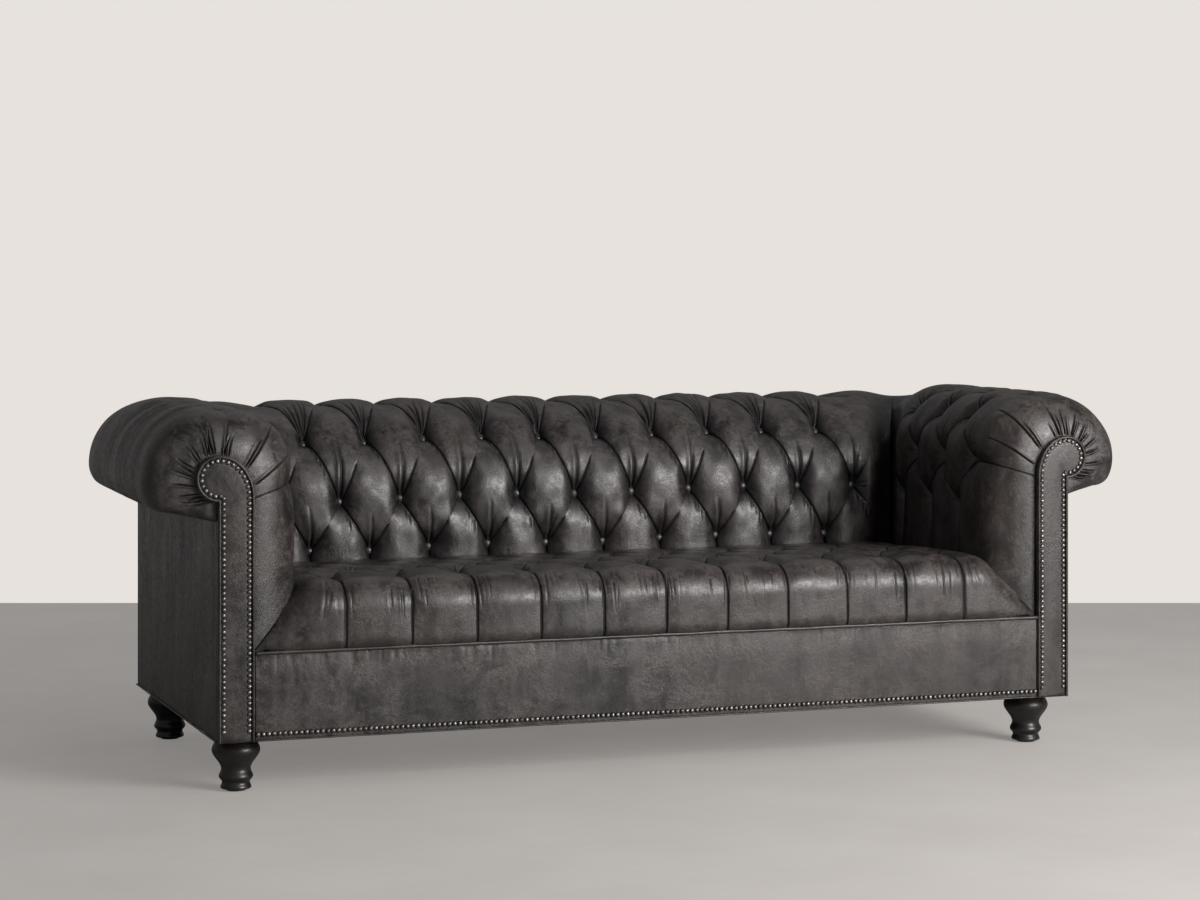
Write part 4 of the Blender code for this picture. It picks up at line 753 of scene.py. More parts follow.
# %% Creases
class Creases:
    """Folds on the flat sheet: their lift, how much painted shade they get, and the nearest one's
    line.
    """

    def __init__(self, u, v):
        self.u, self.v = u, v
        self.lift, self.dark, self.size = [np.zeros(len(u)) for _ in range(3)]
        self.off = np.full(len(u), FAR)

    def add(self, start, end, depth, width, bow=0.0, lip=0.5, tail=0.8):
        """A valley, depth times a bell of `off`, with a lower, wider bell beside it as its lip.

        `off` is the distance from a line bowed by 4 x bow x its length x t x (1 - t).
        """
        run = np.array(end) - start
        length = np.hypot(*run)
        du, dv = self.u - start[0], self.v - start[1]
        away = np.hypot(du - run[0] / 2, dv - run[1] / 2)
        near = np.flatnonzero(away < length * 0.75 + 6 * width)
        du, dv = du[near], dv[near]
        t = (du * run[0] + dv * run[1]) / length**2
        off = (dv * run[0] - du * run[1]) / length - bow * length * 4 * t * (1 - t)
        taper = smooth(t / 0.12) * np.clip(1 - t, 0, 1) ** tail
        valley = hill(off, width)
        self.lift[near] += depth * taper * (lip * hill(off - 2.3 * width, 1.7 * width) - valley)
        # Painted shade: `dark` keeps the valley's bell, which the leather draws near black, and
        # `size` sets how strongly its dark line and its lip's painted highlight are drawn.
        size = taper * min(1, depth / 0.003)
        self.dark[near] = np.maximum(self.dark[near], size * valley)
        size = size * hill(off, 2.5 * width)
        closer = size > self.size[near]
        self.off[near] = np.where(closer, off, self.off[near])
        self.size[near] = np.maximum(size, self.size[near])

    def gather(self, centre, phase, size):
        """Small radial folds round a button: cosines of the angle in a ring about it."""
        du, dv = self.u - centre[0], self.v - centre[1]
        near = np.flatnonzero(np.hypot(du, dv) < 0.05)
        radius, angle = np.hypot(du[near], dv[near]), np.arctan2(dv[near], du[near])
        folds = np.cos(9 * angle + phase) + 0.6 * np.cos(13 * angle + 2 * phase)
        folds *= 0.35 + 0.65 * np.clip(np.sin(angle), 0, 1)
        self.lift[near] += size * hill(radius - 0.019, 0.010) * folds


def undulation(sheet, u, v, size):
    """Slack in the leather: a few long waves with random directions and phases."""
    total = np.zeros(len(u))
    for _ in range(9):
        length, angle = sheet.chance.uniform(0.035, 0.11), sheet.chance.uniform(0, 2 * math.pi)
        way = u * math.cos(angle) + v * math.sin(angle)
        phase = sheet.chance.uniform(0, 6.3)
        total += np.sin(2 * math.pi * way / length + phase) * length / 0.07
    return size * total / 3


# %% [markdown]
# ## From the flat sheet to the sofa
#
# A place function bends the sheet into its cover. The arm runs straight back, turns round
# its nose at the front and sweeps round the corner at the back, where it meets the inside
# back on a mitre. There both covers are drawn half-way to the other's outline, so the two
# edges are the same curve.


# %% Places
def round_the_roll(degrees):
    """Distance along the arm's outline at an angle of its roll."""
    start, flat = ARM_ROLL_Z - COVER_BOTTOM, ARM_REACH - ARM_FACE - 2 * ARM_ROLL
    lip = 90 - math.degrees(LIP_ANGLE) + 90
    over = math.radians(min(degrees, lip)) * ARM_ROLL + (flat if degrees > 90 else 0)
    return start + over + math.radians(max(degrees - lip, 0)) * LIP_RADIUS


def draw_up(y):
    """The leather under the arm's roll is drawn up more and more towards the back."""
    return np.clip((y - RISE_FROM) / (RISE_TO - RISE_FROM), 0, 1)


def turn_corner(side, z, along, across, sheet, own, other, drawn):
    """Sweeps a cover round its rear corner, and draws it half-way to the other at the mitre.

    side is how far out from the sofa's middle the cover stands, and along how far it has
    run. The other cover's outline is read at the same shares of the girth.
    """
    bend, end = sheet.columns[-2][1], sheet.columns[-1][1]
    share = np.clip((along - bend) / (end - bend), 0, 1)
    own_marks, marks = [[0, x.crest, x.tuck, x.reach[-1]] for x in (own, other)]
    place = np.interp(across, own_marks, marks)
    seam, seam_z = other.at(place)
    seam = own.corner + (seam - other.corner) * np.where(
        seam < other.corner, own.mitre / other.mitre, 1
    )
    own_side, own_z = own.at(across)
    held = np.interp(across, own_marks[2:], [1, 0])
    side = side + smooth(share) / 2 * (seam - own_side) * held
    offset = side - own.corner
    straight = other.corner + np.minimum(offset, 0) * other.mitre / own.mitre - bend
    sweep = np.maximum(offset, 0) * own.angle
    run = share * (straight + sweep - GAP / np.where(offset < 0, math.cos(own.angle), 1))
    curl = np.maximum(run - straight, 0) / np.maximum(offset, 1e-6)
    ahead = np.minimum(along, bend) + np.minimum(run, straight)
    side = np.where(curl > 0, own.corner + offset * np.cos(curl), side)
    ahead = np.where(curl > 0, other.corner + offset * np.sin(curl), ahead)
    rise = own.rise(across, drawn(ahead))
    seam_z = seam_z + other.rise(place, 1)
    return side, ahead, z + rise + smooth(share) / 2 * (seam_z - own_z - rise)


def place_arm(sheet, column, row, lift, groove):
    """Points of the right arm; lift is along the outline's normal, groove along the nose's."""
    along, across = sheet.along(column), sheet.across(row)
    way = arm_line.out(across)
    x, z = arm_line.at(across) + way * lift
    x, y, z = turn_corner(x, z, along, across, sheet, arm_line, back_line, draw_up)
    nose_start, front = NOSE_FRONT + NOSE_DEPTH, sheet.columns[0][1]
    turn = np.clip((nose_start - along) / (nose_start - front), 0, 1) * math.pi / 2
    power = 1 - NOSE_SQUARE * smooth((across - ARM_CREST) / (round_the_roll(180) - ARM_CREST))
    inward, forward = np.maximum(np.cos(turn), 0) ** power, np.sin(turn) ** power
    edge_x, edge_z = read(across, arm_line.reach, nose_outline(arm_line))
    x = edge_x + (x - edge_x) * inward + groove * np.cos(turn) * way[0]
    z = edge_z + (z - edge_z) * inward + groove * np.cos(turn) * way[1]
    y = np.where(turn > 0, nose_start - NOSE_DEPTH * forward, y) - groove * np.sin(turn)
    return np.stack([x, y, z], axis=1)


def place_back(sheet, column, row, lift, groove):
    """Points of the back, round to its two mitres."""
    along, across = sheet.along(column), sheet.across(row)
    y, z = back_line.at(across) + back_line.out(across) * (lift + groove)
    far = np.abs(along)
    y, x, z = turn_corner(y, z, far, across, sheet, back_line, arm_line, lambda ahead: 1)
    return np.stack([np.sign(along) * x, y, z], axis=1)


def place_seat(sheet, column, row, lift, groove):
    """Points of the seat; its front corners spread to the facings along the arms' noses."""
    along, across = sheet.along(column), sheet.across(row)
    nose_start, hem = NOSE_FRONT + NOSE_DEPTH, seat_line.points[-1][1]
    turn_from, turn_to = seat_line.passes(0, nose_start, -1), seat_line.reach[-1]
    y, z = seat_line.at(across) + seat_line.out(across) * (lift + groove)
    past = np.clip(1 - np.minimum(column, sheet.last - column), 0, 1)
    turn = np.clip((turn_to - across) / (turn_to - turn_from), 0, 1) * math.pi / 2
    flat_y, flat_z = seat_line.at(across)
    on_nose = across > turn_from
    spread_x = (FACING_INNER - ARM_FACE) * (1 - np.sin(turn)) - SEAT_CLEARANCE * np.sin(2 * turn)
    edge_x = ARM_FACE - GAP + np.where(on_nose, spread_x, 0)
    nose_y = nose_start - (NOSE_DEPTH + SEAT_CLEARANCE) * np.cos(turn) - GAP
    nose_z = hem + (SEAT_TOP - SEAT_SIDE_DROP - hem) * np.sin(turn)
    edge_y = np.where(on_nose, nose_y, flat_y)
    edge_z = np.where(on_nose, nose_z, flat_z - SEAT_SIDE_DROP)
    inner = abs(sheet.columns[1][1])
    x = np.where(past > 0, inner + (edge_x - inner) * past, np.abs(along))
    y = np.where(across > 0, y + (edge_y - y) * past**3, flat_y)
    z = z + (edge_z - z) * past**3
    return np.stack([np.sign(along) * x, y, z], axis=1)


# %% [markdown]
# ## Building a cover
#
# The grids are joined, places that they share become one, and the loose edges of the skin
# drop to the seat deck and are closed, so that each cover is a stuffed solid. Five numbers
# are kept at every vertex for the leather: `rise`, low in the pits and folds, where the
# leather paints shade near black; `wear`, high on the crowns that hands and clothes rub;
# `fold`, the distance to the nearest pleat; `off`, the distance to the nearest crease; and
# `size`, how strong that crease is there. From the last three the leather paints dark lines
# of shade, and highlights on the creases' lips.


# %% Cover
def add_object(name, mesh, material, nodes=()):
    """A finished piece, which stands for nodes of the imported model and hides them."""
    obj = new_object(name, mesh)
    mesh.materials.append(material)
    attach(obj, "root")
    if nodes:
        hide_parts(*nodes)
    return obj


def make_mesh(name, points, faces, tidy=True, **numbers):
    """A smooth mesh in the sofa's own place, with the leather's numbers at each vertex."""
    mesh = bpy.data.meshes.new(name)
    mesh.from_pydata((points - (0, MIDDLE_Y, 0)).tolist(), [], faces)
    plain = {"rise": 1.0, "wear": 0.4, "fold": FAR, "off": FAR, "size": 0.0}
    for label, value in plain.items():
        values = np.full(len(points), value)
        if label in numbers:
            values[: len(numbers[label])] = numbers[label]
        mesh.attributes.new(label, "FLOAT", "POINT").data.foreach_set("value", values)
    if tidy:
        shape = bmesh.new()
        shape.from_mesh(mesh)
        bmesh.ops.recalc_face_normals(shape, faces=shape.faces)
        shape.to_mesh(mesh)
        shape.free()
    mesh.shade_smooth()
    return mesh


def quads_of(index, around=False):
    """The four-sided faces of a grid of vertex numbers, which may close on itself."""
    if around:
        index = np.hstack([index, index[:, :1]])
    corners = (index[:-1, :-1], index[:-1, 1:], index[1:, 1:], index[1:, :-1])
    return np.stack(corners, axis=-1).reshape(-1, 4)


def join_grids(grids, strip=None):
    """One list of places and faces from many grids, with shared places made one."""
    places, quads, count = [], [], 0
    for column, row in grids:
        index = count + np.arange(column.size).reshape(column.shape)
        quads.append(quads_of(index)[:, [1, 2, 3, 0]])
        places.append(np.stack([column.ravel(), row.ravel()], axis=1))
        count += column.size
    if strip is not None:
        places.append(strip.reshape(-1, 2))
    places = np.round(np.concatenate(places), 5)
    places, same = np.unique(places, axis=0, return_inverse=True)
    same = same.reshape(-1)
    quads = same[np.concatenate(quads)].tolist()
    if strip is not None:
        quads += same[count:].reshape(strip.shape[:2]).tolist()
    faces = [list(dict.fromkeys(quad)) for quad in quads]
    return places, [face for face in faces if len(face) > 2]


def closed_cover(name, places, faces, points, ends_drop=False, **numbers):
    """The skin closed by dropping its loose edges to the seat deck."""

    def edge(axis, end):
        found = np.flatnonzero(np.abs(places[:, axis] - end(places[:, axis])) < 1e-4)
        return found[np.argsort(places[found, 1 - axis])].tolist()

    near, far, front, rear = edge(1, np.min), edge(1, np.max), edge(0, np.min), edge(0, np.max)
    chain = rear[::-1][:-1] + near[::-1] + front[1:] if ends_drop else far
    low = points[chain].copy()
    low[:, 2] = COVER_BOTTOM
    low_chain = list(range(len(points), len(points) + len(chain)))
    pairs = list(zip(chain, low_chain))
    faces = faces + [[a, b, d, c] for (a, b), (c, d) in zip(pairs, pairs[1:])]
    if ends_drop:
        faces += [low_chain, far + [low_chain[0], low_chain[-1]]]
    else:
        faces += [front + [low_chain[0]], rear + [low_chain[-1]], near + low_chain[::-1]]
    return make_mesh(name, np.concatenate([points, low]), faces, **numbers)


# %% [markdown]
# ## Where the folds lie
#
# Every button gets its own: a dart that stands up from it, now and then a double one, a
# few wrinkles under the start of the pleat that runs down from it, and, from the top row,
# a fan that spreads towards the crest.


# %% Folds
def fade_at(sheet, column):
    """0 at a mitre and 1 away from it, so that the covers still meet."""
    keep = np.ones(len(column))
    for end in sheet.level_ends:
        keep *= 1 - hill(column - end, 0.5)
    return keep


def fan(creases, chance, u, v, reach, half, depth):
    """Five folds that spread from a button of the top row towards the crest."""
    for share in (-0.62, -0.36, -0.10, 0.16, 0.42):
        share += chance.uniform(-0.08, 0.08)
        long = reach * chance.uniform(0.55, 0.95)
        start = (u + 0.004 * share, v + 0.010)
        end = (u + share * half * 0.75, v + 0.010 + long)
        creases.add(start, end, 0.0034 * depth, 0.0030, bow=chance.uniform(-0.04, 0.04))


def dart(creases, chance, u, v, reach, half, depth):
    """A fold that stands up from a button, and sometimes a second one beside it."""
    long = reach * chance.uniform(0.80, 1.02)
    lean = chance.uniform(-0.10, 0.06) * half
    creases.add((u, v + 0.008), (u + lean, v + long), 0.0050 * depth, 0.0034, bow=-0.03)
    if chance.random() < 0.5:
        lean += half * chance.uniform(0.14, 0.24)
        end = (u + lean, v + long * 0.75)
        creases.add((u + 0.002, v + 0.008), end, 0.0030 * depth, 0.0026, bow=0.03)


def button_folds(sheet, creases, depth=1.0):
    """The folds round the buttons of an upright cover."""
    chance = sheet.chance
    for column, row in sheet.buttons(sheet.last_row - 1):
        u, v = float(sheet.along(column)), float(sheet.across(row))
        reach = float(sheet.across(row + 1)) - v
        half = float(sheet.along(column + 1)) - u if column < sheet.last else 0.07
        creases.gather((u, v), chance.uniform(0, 6.3), 0.0011 * depth)
        upward = fan if row == sheet.last_row - 1 else dart
        upward(creases, chance, u, v, reach, half, depth)
        for share in (0.17, 0.27, 0.37, 0.48)[: chance.integers(2, 5)]:
            share += chance.uniform(-0.03, 0.03)
            fall = v - float(sheet.across(row - 1)) if row else 0
            start = (u + share * half - 0.002, v - share * fall - 0.004)
            end = (start[0] + 0.003, start[1] - chance.uniform(0.018, 0.036))
            if row:
                creases.add(start, end, 0.0022 * depth, 0.0026)
    crest = float(sheet.across(sheet.last_row))
    fall = crest - float(sheet.across(sheet.last_row - 1))
    for column in range(sheet.first, sheet.last):
        if sheet.is_button(column, sheet.last_row) and column not in sheet.level_ends:
            u = float(sheet.along(column))
            lean = (float(sheet.along(column + 1)) - u) * chance.uniform(0.25, 0.50)
            end = (u + lean, crest - fall * chance.uniform(0.35, 0.60))
            creases.add((u + 0.006, crest - 0.006), end, 0.0026 * depth, 0.0030, bow=-0.06)


# %% [markdown]
# ## Buttons and nails
#
# A covered button is a shallow dome of leather, and a nail's head is a smaller one of
# metal. Buttons sit at the bottom of each pit, facing the way that the flat cover would
# face there.


# %% Dome
def dome_grid(radius, height, rings, sides):
    """A half ellipsoid's points (x, y, z up) ring by ring, then its faces and its apex."""
    tilt = np.linspace(0, math.pi / 2, rings, endpoint=False)[:, None]
    angle = np.linspace(0, 2 * math.pi, sides, endpoint=False)[None, :]
    x, y = radius * np.cos(tilt) * np.cos(angle), radius * np.cos(tilt) * np.sin(angle)
    points = np.stack([x, y, height * np.sin(tilt) + 0 * angle], axis=-1).reshape(-1, 3)
    index = np.arange(rings * sides).reshape(rings, sides)
    faces = quads_of(index, around=True).tolist()
    faces += [[a, b, index.size] for a, b in zip(index[-1], np.roll(index[-1], -1))]
    return np.vstack([points, [0, 0, height]]), faces + [index[0][::-1].tolist()]


def domes(name, centres, normals, size, detail, seed, jitter):
    """Many domes in one mesh, each turned to its own normal."""
    shape, faces = dome_grid(*size, *detail)
    normals = np.array(normals) + np.random.default_rng(seed).normal(0, jitter, (len(normals), 3))
    normals /= np.linalg.norm(normals, axis=1)[:, None]
    helper = np.where(np.abs(normals[:, 2:]) < 0.9, [[0.0, 0.0, 1.0]], [[1.0, 0.0, 0.0]])
    first = np.cross(helper, normals)
    first /= np.linalg.norm(first, axis=1)[:, None]
    frames = np.stack([first, np.cross(normals, first), normals], axis=1)
    points = np.einsum("pk,nkj->npj", shape, frames) + np.array(centres)[:, None, :]
    count = len(normals)
    all_faces = [[int(i) + n * len(shape) for i in face] for n in range(count) for face in faces]
    # `rise` grows from a dome's rim to its apex; the leather and the bronze paint shade where it
    # is low.
    rise = np.tile(shape[:, 2] / size[1], count)
    return make_mesh(name, points.reshape(-1, 3), all_faces, tidy=False, rise=rise)


# %% [markdown]
# ## The inside back
#
# Eleven diamonds across. The rows are the three lines of buttons and the crest, where the
# pleats are sewn down without buttons. On every cover `rise` falls in pits and folds, and
# `wear` grows on full crowns that face up or out.


# %% Inside back
def finish_cover(name, sheet, grids, place, outline, depth, creases_of, node, strip=None, **more):
    """Joins the grids, adds folds and slack, bends the sheet and closes it."""
    places, faces = join_grids(grids, strip)
    column, row = places.T
    u, v = sheet.along(column), sheet.across(row)
    body, nose = creases_of(sheet, u, v)
    high, keep = sheet.height(column, row), fade_at(sheet, column)
    fold = sheet.to_pleat(column, row) + FADE * (1 - keep)
    slack = undulation(sheet, u, v, sheet.slack) * (1 - 0.7 * smooth((row - sheet.last_row) / 0.2))
    full = np.clip(high, 0, 1)
    shallow = slack + SWELL - GROOVE_DEPTH * hill(fold, GROOVE_WIDTH)
    lift = (high - 1) * depth + (body.lift + shallow * full) * keep
    lift = np.maximum(lift, 0.004 - depth)
    points = place(sheet, *sheet.wander(column, row), lift, nose.lift)
    # Painted shade: how dark the creases are drawn. It lowers `rise`, and the leather paints low
    # `rise`, in the pits and folds, near black.
    dark = np.maximum(body.dark * keep, nose.dark)
    up = np.clip(outline.out(v)[1], 0, 1)
    numbers = {
        "rise": np.clip(high * 1.25 - 0.1, 0, 1) * (1 - 0.75 * dark),
        "wear": smooth((high - 0.55) / 0.5) * (0.50 + 0.50 * up) * (1 - dark),
        "fold": fold,
        "off": np.where(nose.size > body.size * keep, nose.off, body.off),
        "size": np.maximum(nose.size, body.size * keep),
    }
    mesh = closed_cover(name, places, faces, points, **numbers, **more)
    print(name, len(mesh.vertices), "vertices")
    add_object(name, mesh, leather, [node])


def back_folds(sheet, u, v):
    """The back has only the folds of its buttons."""
    creases = Creases(u, v)
    button_folds(sheet, creases)
    return creases, Creases(u, v)


PITCHES = 11
reach = ARM_FACE - MARGIN
even_columns = [(c, (c - PITCHES) * reach / PITCHES) for c in range(2 * PITCHES + 1)]
low = back_line.passes(1, SEAT_TOP - SEAT_DROP + 0.025)
girth = BACK_CREST - low
rows = [(-1, 0), (0, low), (1, low + 0.24 * girth), (2, low + 0.605 * girth), (3, BACK_CREST)]
back_sheet = Sheet(even_columns, rows + [(4, back_line.reach[-1])], seed=11, roll_fade=0.26)
grids = back_sheet.cells(STEPS, STEPS // 2, STEPS * 3 // 2)
finish_cover(
    "leather_back", back_sheet, grids, place_back, back_line, TUFT_DEPTH, back_folds, "inside_back"
)

# %% [markdown]
# ## The arms
#
# An arm's leather is also drawn round its nose and tacked behind the facing, so it has
# more folds: gathers that run back from the facing's edge, most of them over the head of
# the scroll. Their places are angles round the roll, counted from its inner side.

# %% Arms
INNER_GATHERS = ((16, 0.12), (43, 0.14), (47, 0.07))
GATHERS = (
    *((76, 0.04), (84, 0.08), (88, 0.05), (93, 0.09), (97, 0.06), (106, 0.07), (109, 0.04)),
    *((126, 0.035), (131, 0.025), (147, 0.035), (158, 0.025), (163, 0.025), (182, 0.025)),
    *((196, 0.025), (205, 0.02), (224, 0.025), (229, 0.018), (248, 0.02)),
)
ROLL_CREASES = ((0.12, 185, 100), (0.17, 170, 96), (0.25, 195, 105), (0.34, 185, 98))


def arm_folds(sheet, u, v):
    """The folds of the buttons, those of the roll and the gathers of the nose."""
    body, nose = Creases(u, v), Creases(u, v)
    button_folds(sheet, body)
    chance, front = sheet.chance, float(sheet.along(-1))
    for degrees, long in INNER_GATHERS:
        at = round_the_roll(degrees)
        nose.add((front, at), (front + long, at + 0.012), 0.0042, 0.0030, bow=0.05, tail=0.5)
    for degrees, long in GATHERS:
        at = round_the_roll(degrees + chance.uniform(-2.5, 2.5))
        long *= chance.uniform(0.75, 1.25)
        bend, depth = chance.uniform(-0.008, 0.008), chance.uniform(0.0030, 0.0054)
        bow = chance.uniform(-0.12, 0.12)
        nose.add((front, at), (front + long, at + bend), depth, 0.0027, bow=bow, lip=0.8)
    for along, low_end, high_end in ROLL_CREASES:
        start, end = (along + 0.02, round_the_roll(high_end)), (along, round_the_roll(low_end))
        body.add(start, end, 0.0030, 0.0060, bow=-0.05, lip=0.9)
    return body, nose


first_button, pitch = 0.145, 0.14550
front = NOSE_FRONT + NOSE_DEPTH - math.pi / 4 * (NOSE_DEPTH + FACING_INNER - ARM_FACE)
columns = [(-1, front)] + [(c, first_button + (c - 1) * pitch / 2) for c in range(1, 8)]
low, middle = arm_line.passes(1, SEAT_TOP + 0.097), arm_line.passes(1, SEAT_TOP + 0.205)
rows = [(-1, 0), (0, low), (1, middle), (2, middle + 0.56 * (ARM_CREST - middle)), (3, ARM_CREST)]
counts = (STEPS, STEPS // 2, STEPS * 2)
for side, word in SIDES:
    arm_sheet = Sheet(columns, rows + [(4, arm_line.reach[-1])], seed=20 + side, roll_fade=0.17)
    ahead, strip = arm_sheet.front_grids(*counts, ahead=STEPS * 3 // 2)
    finish_cover(
        f"leather_arm_{word}",
        arm_sheet,
        arm_sheet.cells(*counts) + ahead,
        lambda *args: place_arm(*args) * (side, 1, 1),
        arm_line,
        TUFT_DEPTH,
        arm_folds,
        f"inside_arm_{word}",
        strip=strip,
    )


# %% [markdown]
# ## The seat
#
# The same sheet lies down here, with its first row of buttons near the front edge. From
# them the pleats run straight over the edge to the welt.


# %% Seat
def seat_folds(sheet, u, v):
    """Gathers and folds behind each button, and wrinkles along the front edge."""
    creases, chance = Creases(u, v), sheet.chance
    top_edge = float(seat_line.passes(0, SEAT_EDGE - SEAT_BULGE, -1)) + 0.02
    for column, row in sheet.buttons(sheet.last_row):
        if column in (sheet.first, sheet.last):
            continue
        place = (float(sheet.along(column)), float(sheet.across(row)))
        creases.gather(place, chance.uniform(0, 6.3), 0.0009)
        back_way = float(sheet.across(row + 1)) - place[1]
        for share in (-0.5, 0.1, 0.45)[: chance.integers(1, 4)]:
            end = (place[0] + share * 0.04, place[1] + back_way * chance.uniform(0.4, 0.7))
            creases.add(place, end, 0.0018, 0.0026, bow=chance.uniform(-0.05, 0.05))
        for _ in range(chance.integers(7, 15) if row == 0 else 0):
            start = (place[0] + chance.normal(0, 0.030), top_edge + chance.uniform(-0.005, 0.035))
            end = (start[0] + chance.uniform(-0.005, 0.004), start[1] + chance.uniform(0.02, 0.09))
            creases.add(start, end, chance.uniform(0.0004, 0.0016), 0.0024, bow=0.02)
    return creases, Creases(u, v)


FIRST_ROW, ROW_PITCH = 0.135, 0.115
places = [seat_line.passes(0, FIRST_ROW + row * ROW_PITCH, -1) for row in range(4)]
rows = [(-1, seat_line.reach[-1]), *enumerate(places), (4, 0)]
looks = {"crest_fill": 0.0, "fill": 0.3, "rise": 0.86, "low_fade": 0.5, "slack": 0.0004}
seat_sheet = Sheet(even_columns, rows, seed=31, parity=1, level_ends=[], **looks)
finish_cover(
    "leather_seat",
    seat_sheet,
    seat_sheet.cells(STEPS, STEPS * 5 // 4, STEPS // 4),
    place_seat,
    seat_line,
    SEAT_TUFT_DEPTH,
    seat_folds,
    "seat_cover",
    ends_drop=True,
)


# %% Covered buttons
def add_buttons(name, sheet, place, depth, last_row=2, side=1):
    """A button at each place of the lattice, at the bottom of its pit."""
    column, row = np.array(sheet.buttons(last_row), float).T
    lift, none = np.full(len(row), BUTTON_UP - depth), np.zeros(len(row))
    column, row = sheet.wander(column, row)
    centres, ahead = [
        place(sheet, column, row, lift + up, none) * (side, 1, 1) for up in (0, 0.01)
    ]
    size = (BUTTON_RADIUS, BUTTON_HEIGHT)
    mesh = domes(name, centres, (ahead - centres) / 0.01, size, (7, 18), 41, BUTTON_TILT)
    add_object(name, mesh, button_leather)
    print(name, len(row))


add_buttons("buttons_back", back_sheet, place_back, TUFT_DEPTH)
add_buttons("buttons_arm_left", arm_sheet, place_arm, TUFT_DEPTH, side=-1)
add_buttons("buttons_arm_right", arm_sheet, place_arm, TUFT_DEPTH)
add_buttons("buttons_seat", seat_sheet, place_seat, SEAT_TUFT_DEPTH, last_row=3)

# %% [markdown]
# ## Facings, welts and nails
#
# A facing is a board in leather. Its outline is drawn at several insets, each a little
# further forward, and the rings are joined: that gives the rounded edge and the crown.

# %% Facings
CROWN = (
    *((0, 0.010), (0, 0.0022), (0.0006, 0.0010), (0.002, 0.0)),
    *((0.007, -0.0010), (0.014, -0.0018), (0.022, -0.0024)),
)


def rings_mesh(name, rings):
    """Rings of points joined side by side, with the first and last filled in."""
    rings = np.array(rings)
    index = np.arange(rings.shape[0] * rings.shape[1]).reshape(rings.shape[:2])
    faces = quads_of(index, around=True).tolist() + [index[0].tolist(), index[-1].tolist()]
    return make_mesh(name, rings.reshape(-1, 3), faces)


def add_cord(name, points, radius, nodes=(), up=(0, 1, 0), sides=10):
    """A round leather cord: a circle carried along a line of points, square to it."""
    tangent = np.gradient(points, axis=0)
    tangent /= np.linalg.norm(tangent, axis=1)[:, None]
    across = np.cross(tangent, up)
    across /= np.linalg.norm(across, axis=1)[:, None]
    other = np.cross(across, tangent)
    angle = np.linspace(0, 2 * math.pi, sides, endpoint=False)[None, :, None]
    rings = np.cos(angle) * across[:, None] + np.sin(angle) * other[:, None]
    add_object(name, rings_mesh(name, points[:, None] + radius * rings), leather, nodes)


def add_nails(name, places, seed, node):
    """Domes of bronze that face forward."""
    forward = np.tile([0.0, -1.0, 0.0], (len(places), 1))
    heads = domes(name, places, forward, (NAIL_RADIUS, NAIL_HEIGHT), (5, 14), seed, NAIL_TILT)
    add_object(name, heads, bronze, [node])
    print(name, len(places))


def facing_line(side, inset, y, pitch=None):
    """A line on a facing at an inset from its edge; with a pitch, its points are even."""
    loop = chained(facing_outline(inset))
    if pitch:
        loop = resample(loop, int(lengths(loop)[-1] / pitch) + 1)
    return np.stack([side * loop[:, 0], np.full(len(loop), y), loop[:, 1]], axis=1)


def wavy(points, size, seed):
    """Sewing is never quite straight: a line shifted by the mean of three random sines."""
    chance, reach = np.random.default_rng(seed), np.linspace(0, 1, len(points))
    turns = [reach * 2 * math.pi * count + chance.uniform(0, 6.3) for count in (3, 7.3, 13.1)]
    return points + size / 3 * sum(map(np.sin, turns))[:, None] * np.array([0.3, 0.0, 1.0])


for side, word in SIDES:
    name = f"leather_facing_{word}"
    rings = [facing_line(side, inset, y) for inset, y in CROWN]
    add_object(name, rings_mesh(name, rings), leather, [f"facing_{word}"])
    cord = facing_line(side, FACING_WELT, -FACING_WELT - GAP, 0.004)
    add_cord(f"piping_{word}", cord, FACING_WELT, [f"facing_welt_{word}"])
    nails = facing_line(side, 2 * FACING_WELT + 0.005 + GAP, -NAIL_OUT, NAIL_PITCH)
    nails = nails[nails[:, 2] > BODY_BOTTOM + 0.012]
    add_nails(f"nails_{word}", nails, 50 + side, f"nail_trim_{word}")


# %% Welt and nails along the front
x, y, z = FACING_INNER - 2 * GAP, -WELT - GAP, APRON_TOP + WELT / 2
add_cord("seat_piping", wavy(line((-x, y, z), (x, y, z), 400), 0.0006, 7), WELT, ["seat_welt"])
x, z = x - 0.006, BODY_BOTTOM + 0.0145
nails = line((-x, -NAIL_OUT, z), (x, -NAIL_OUT, z), round(2 * x / NAIL_PITCH))
add_nails("nails_front", nails, 53, "nail_trim_front")

# %% [markdown]
# ## Flat panels
#
# The apron, both sides and the back are leather drawn over flat boards. They are grids
# that crown slightly, with rounded edges and the soft drags that come from tacking.


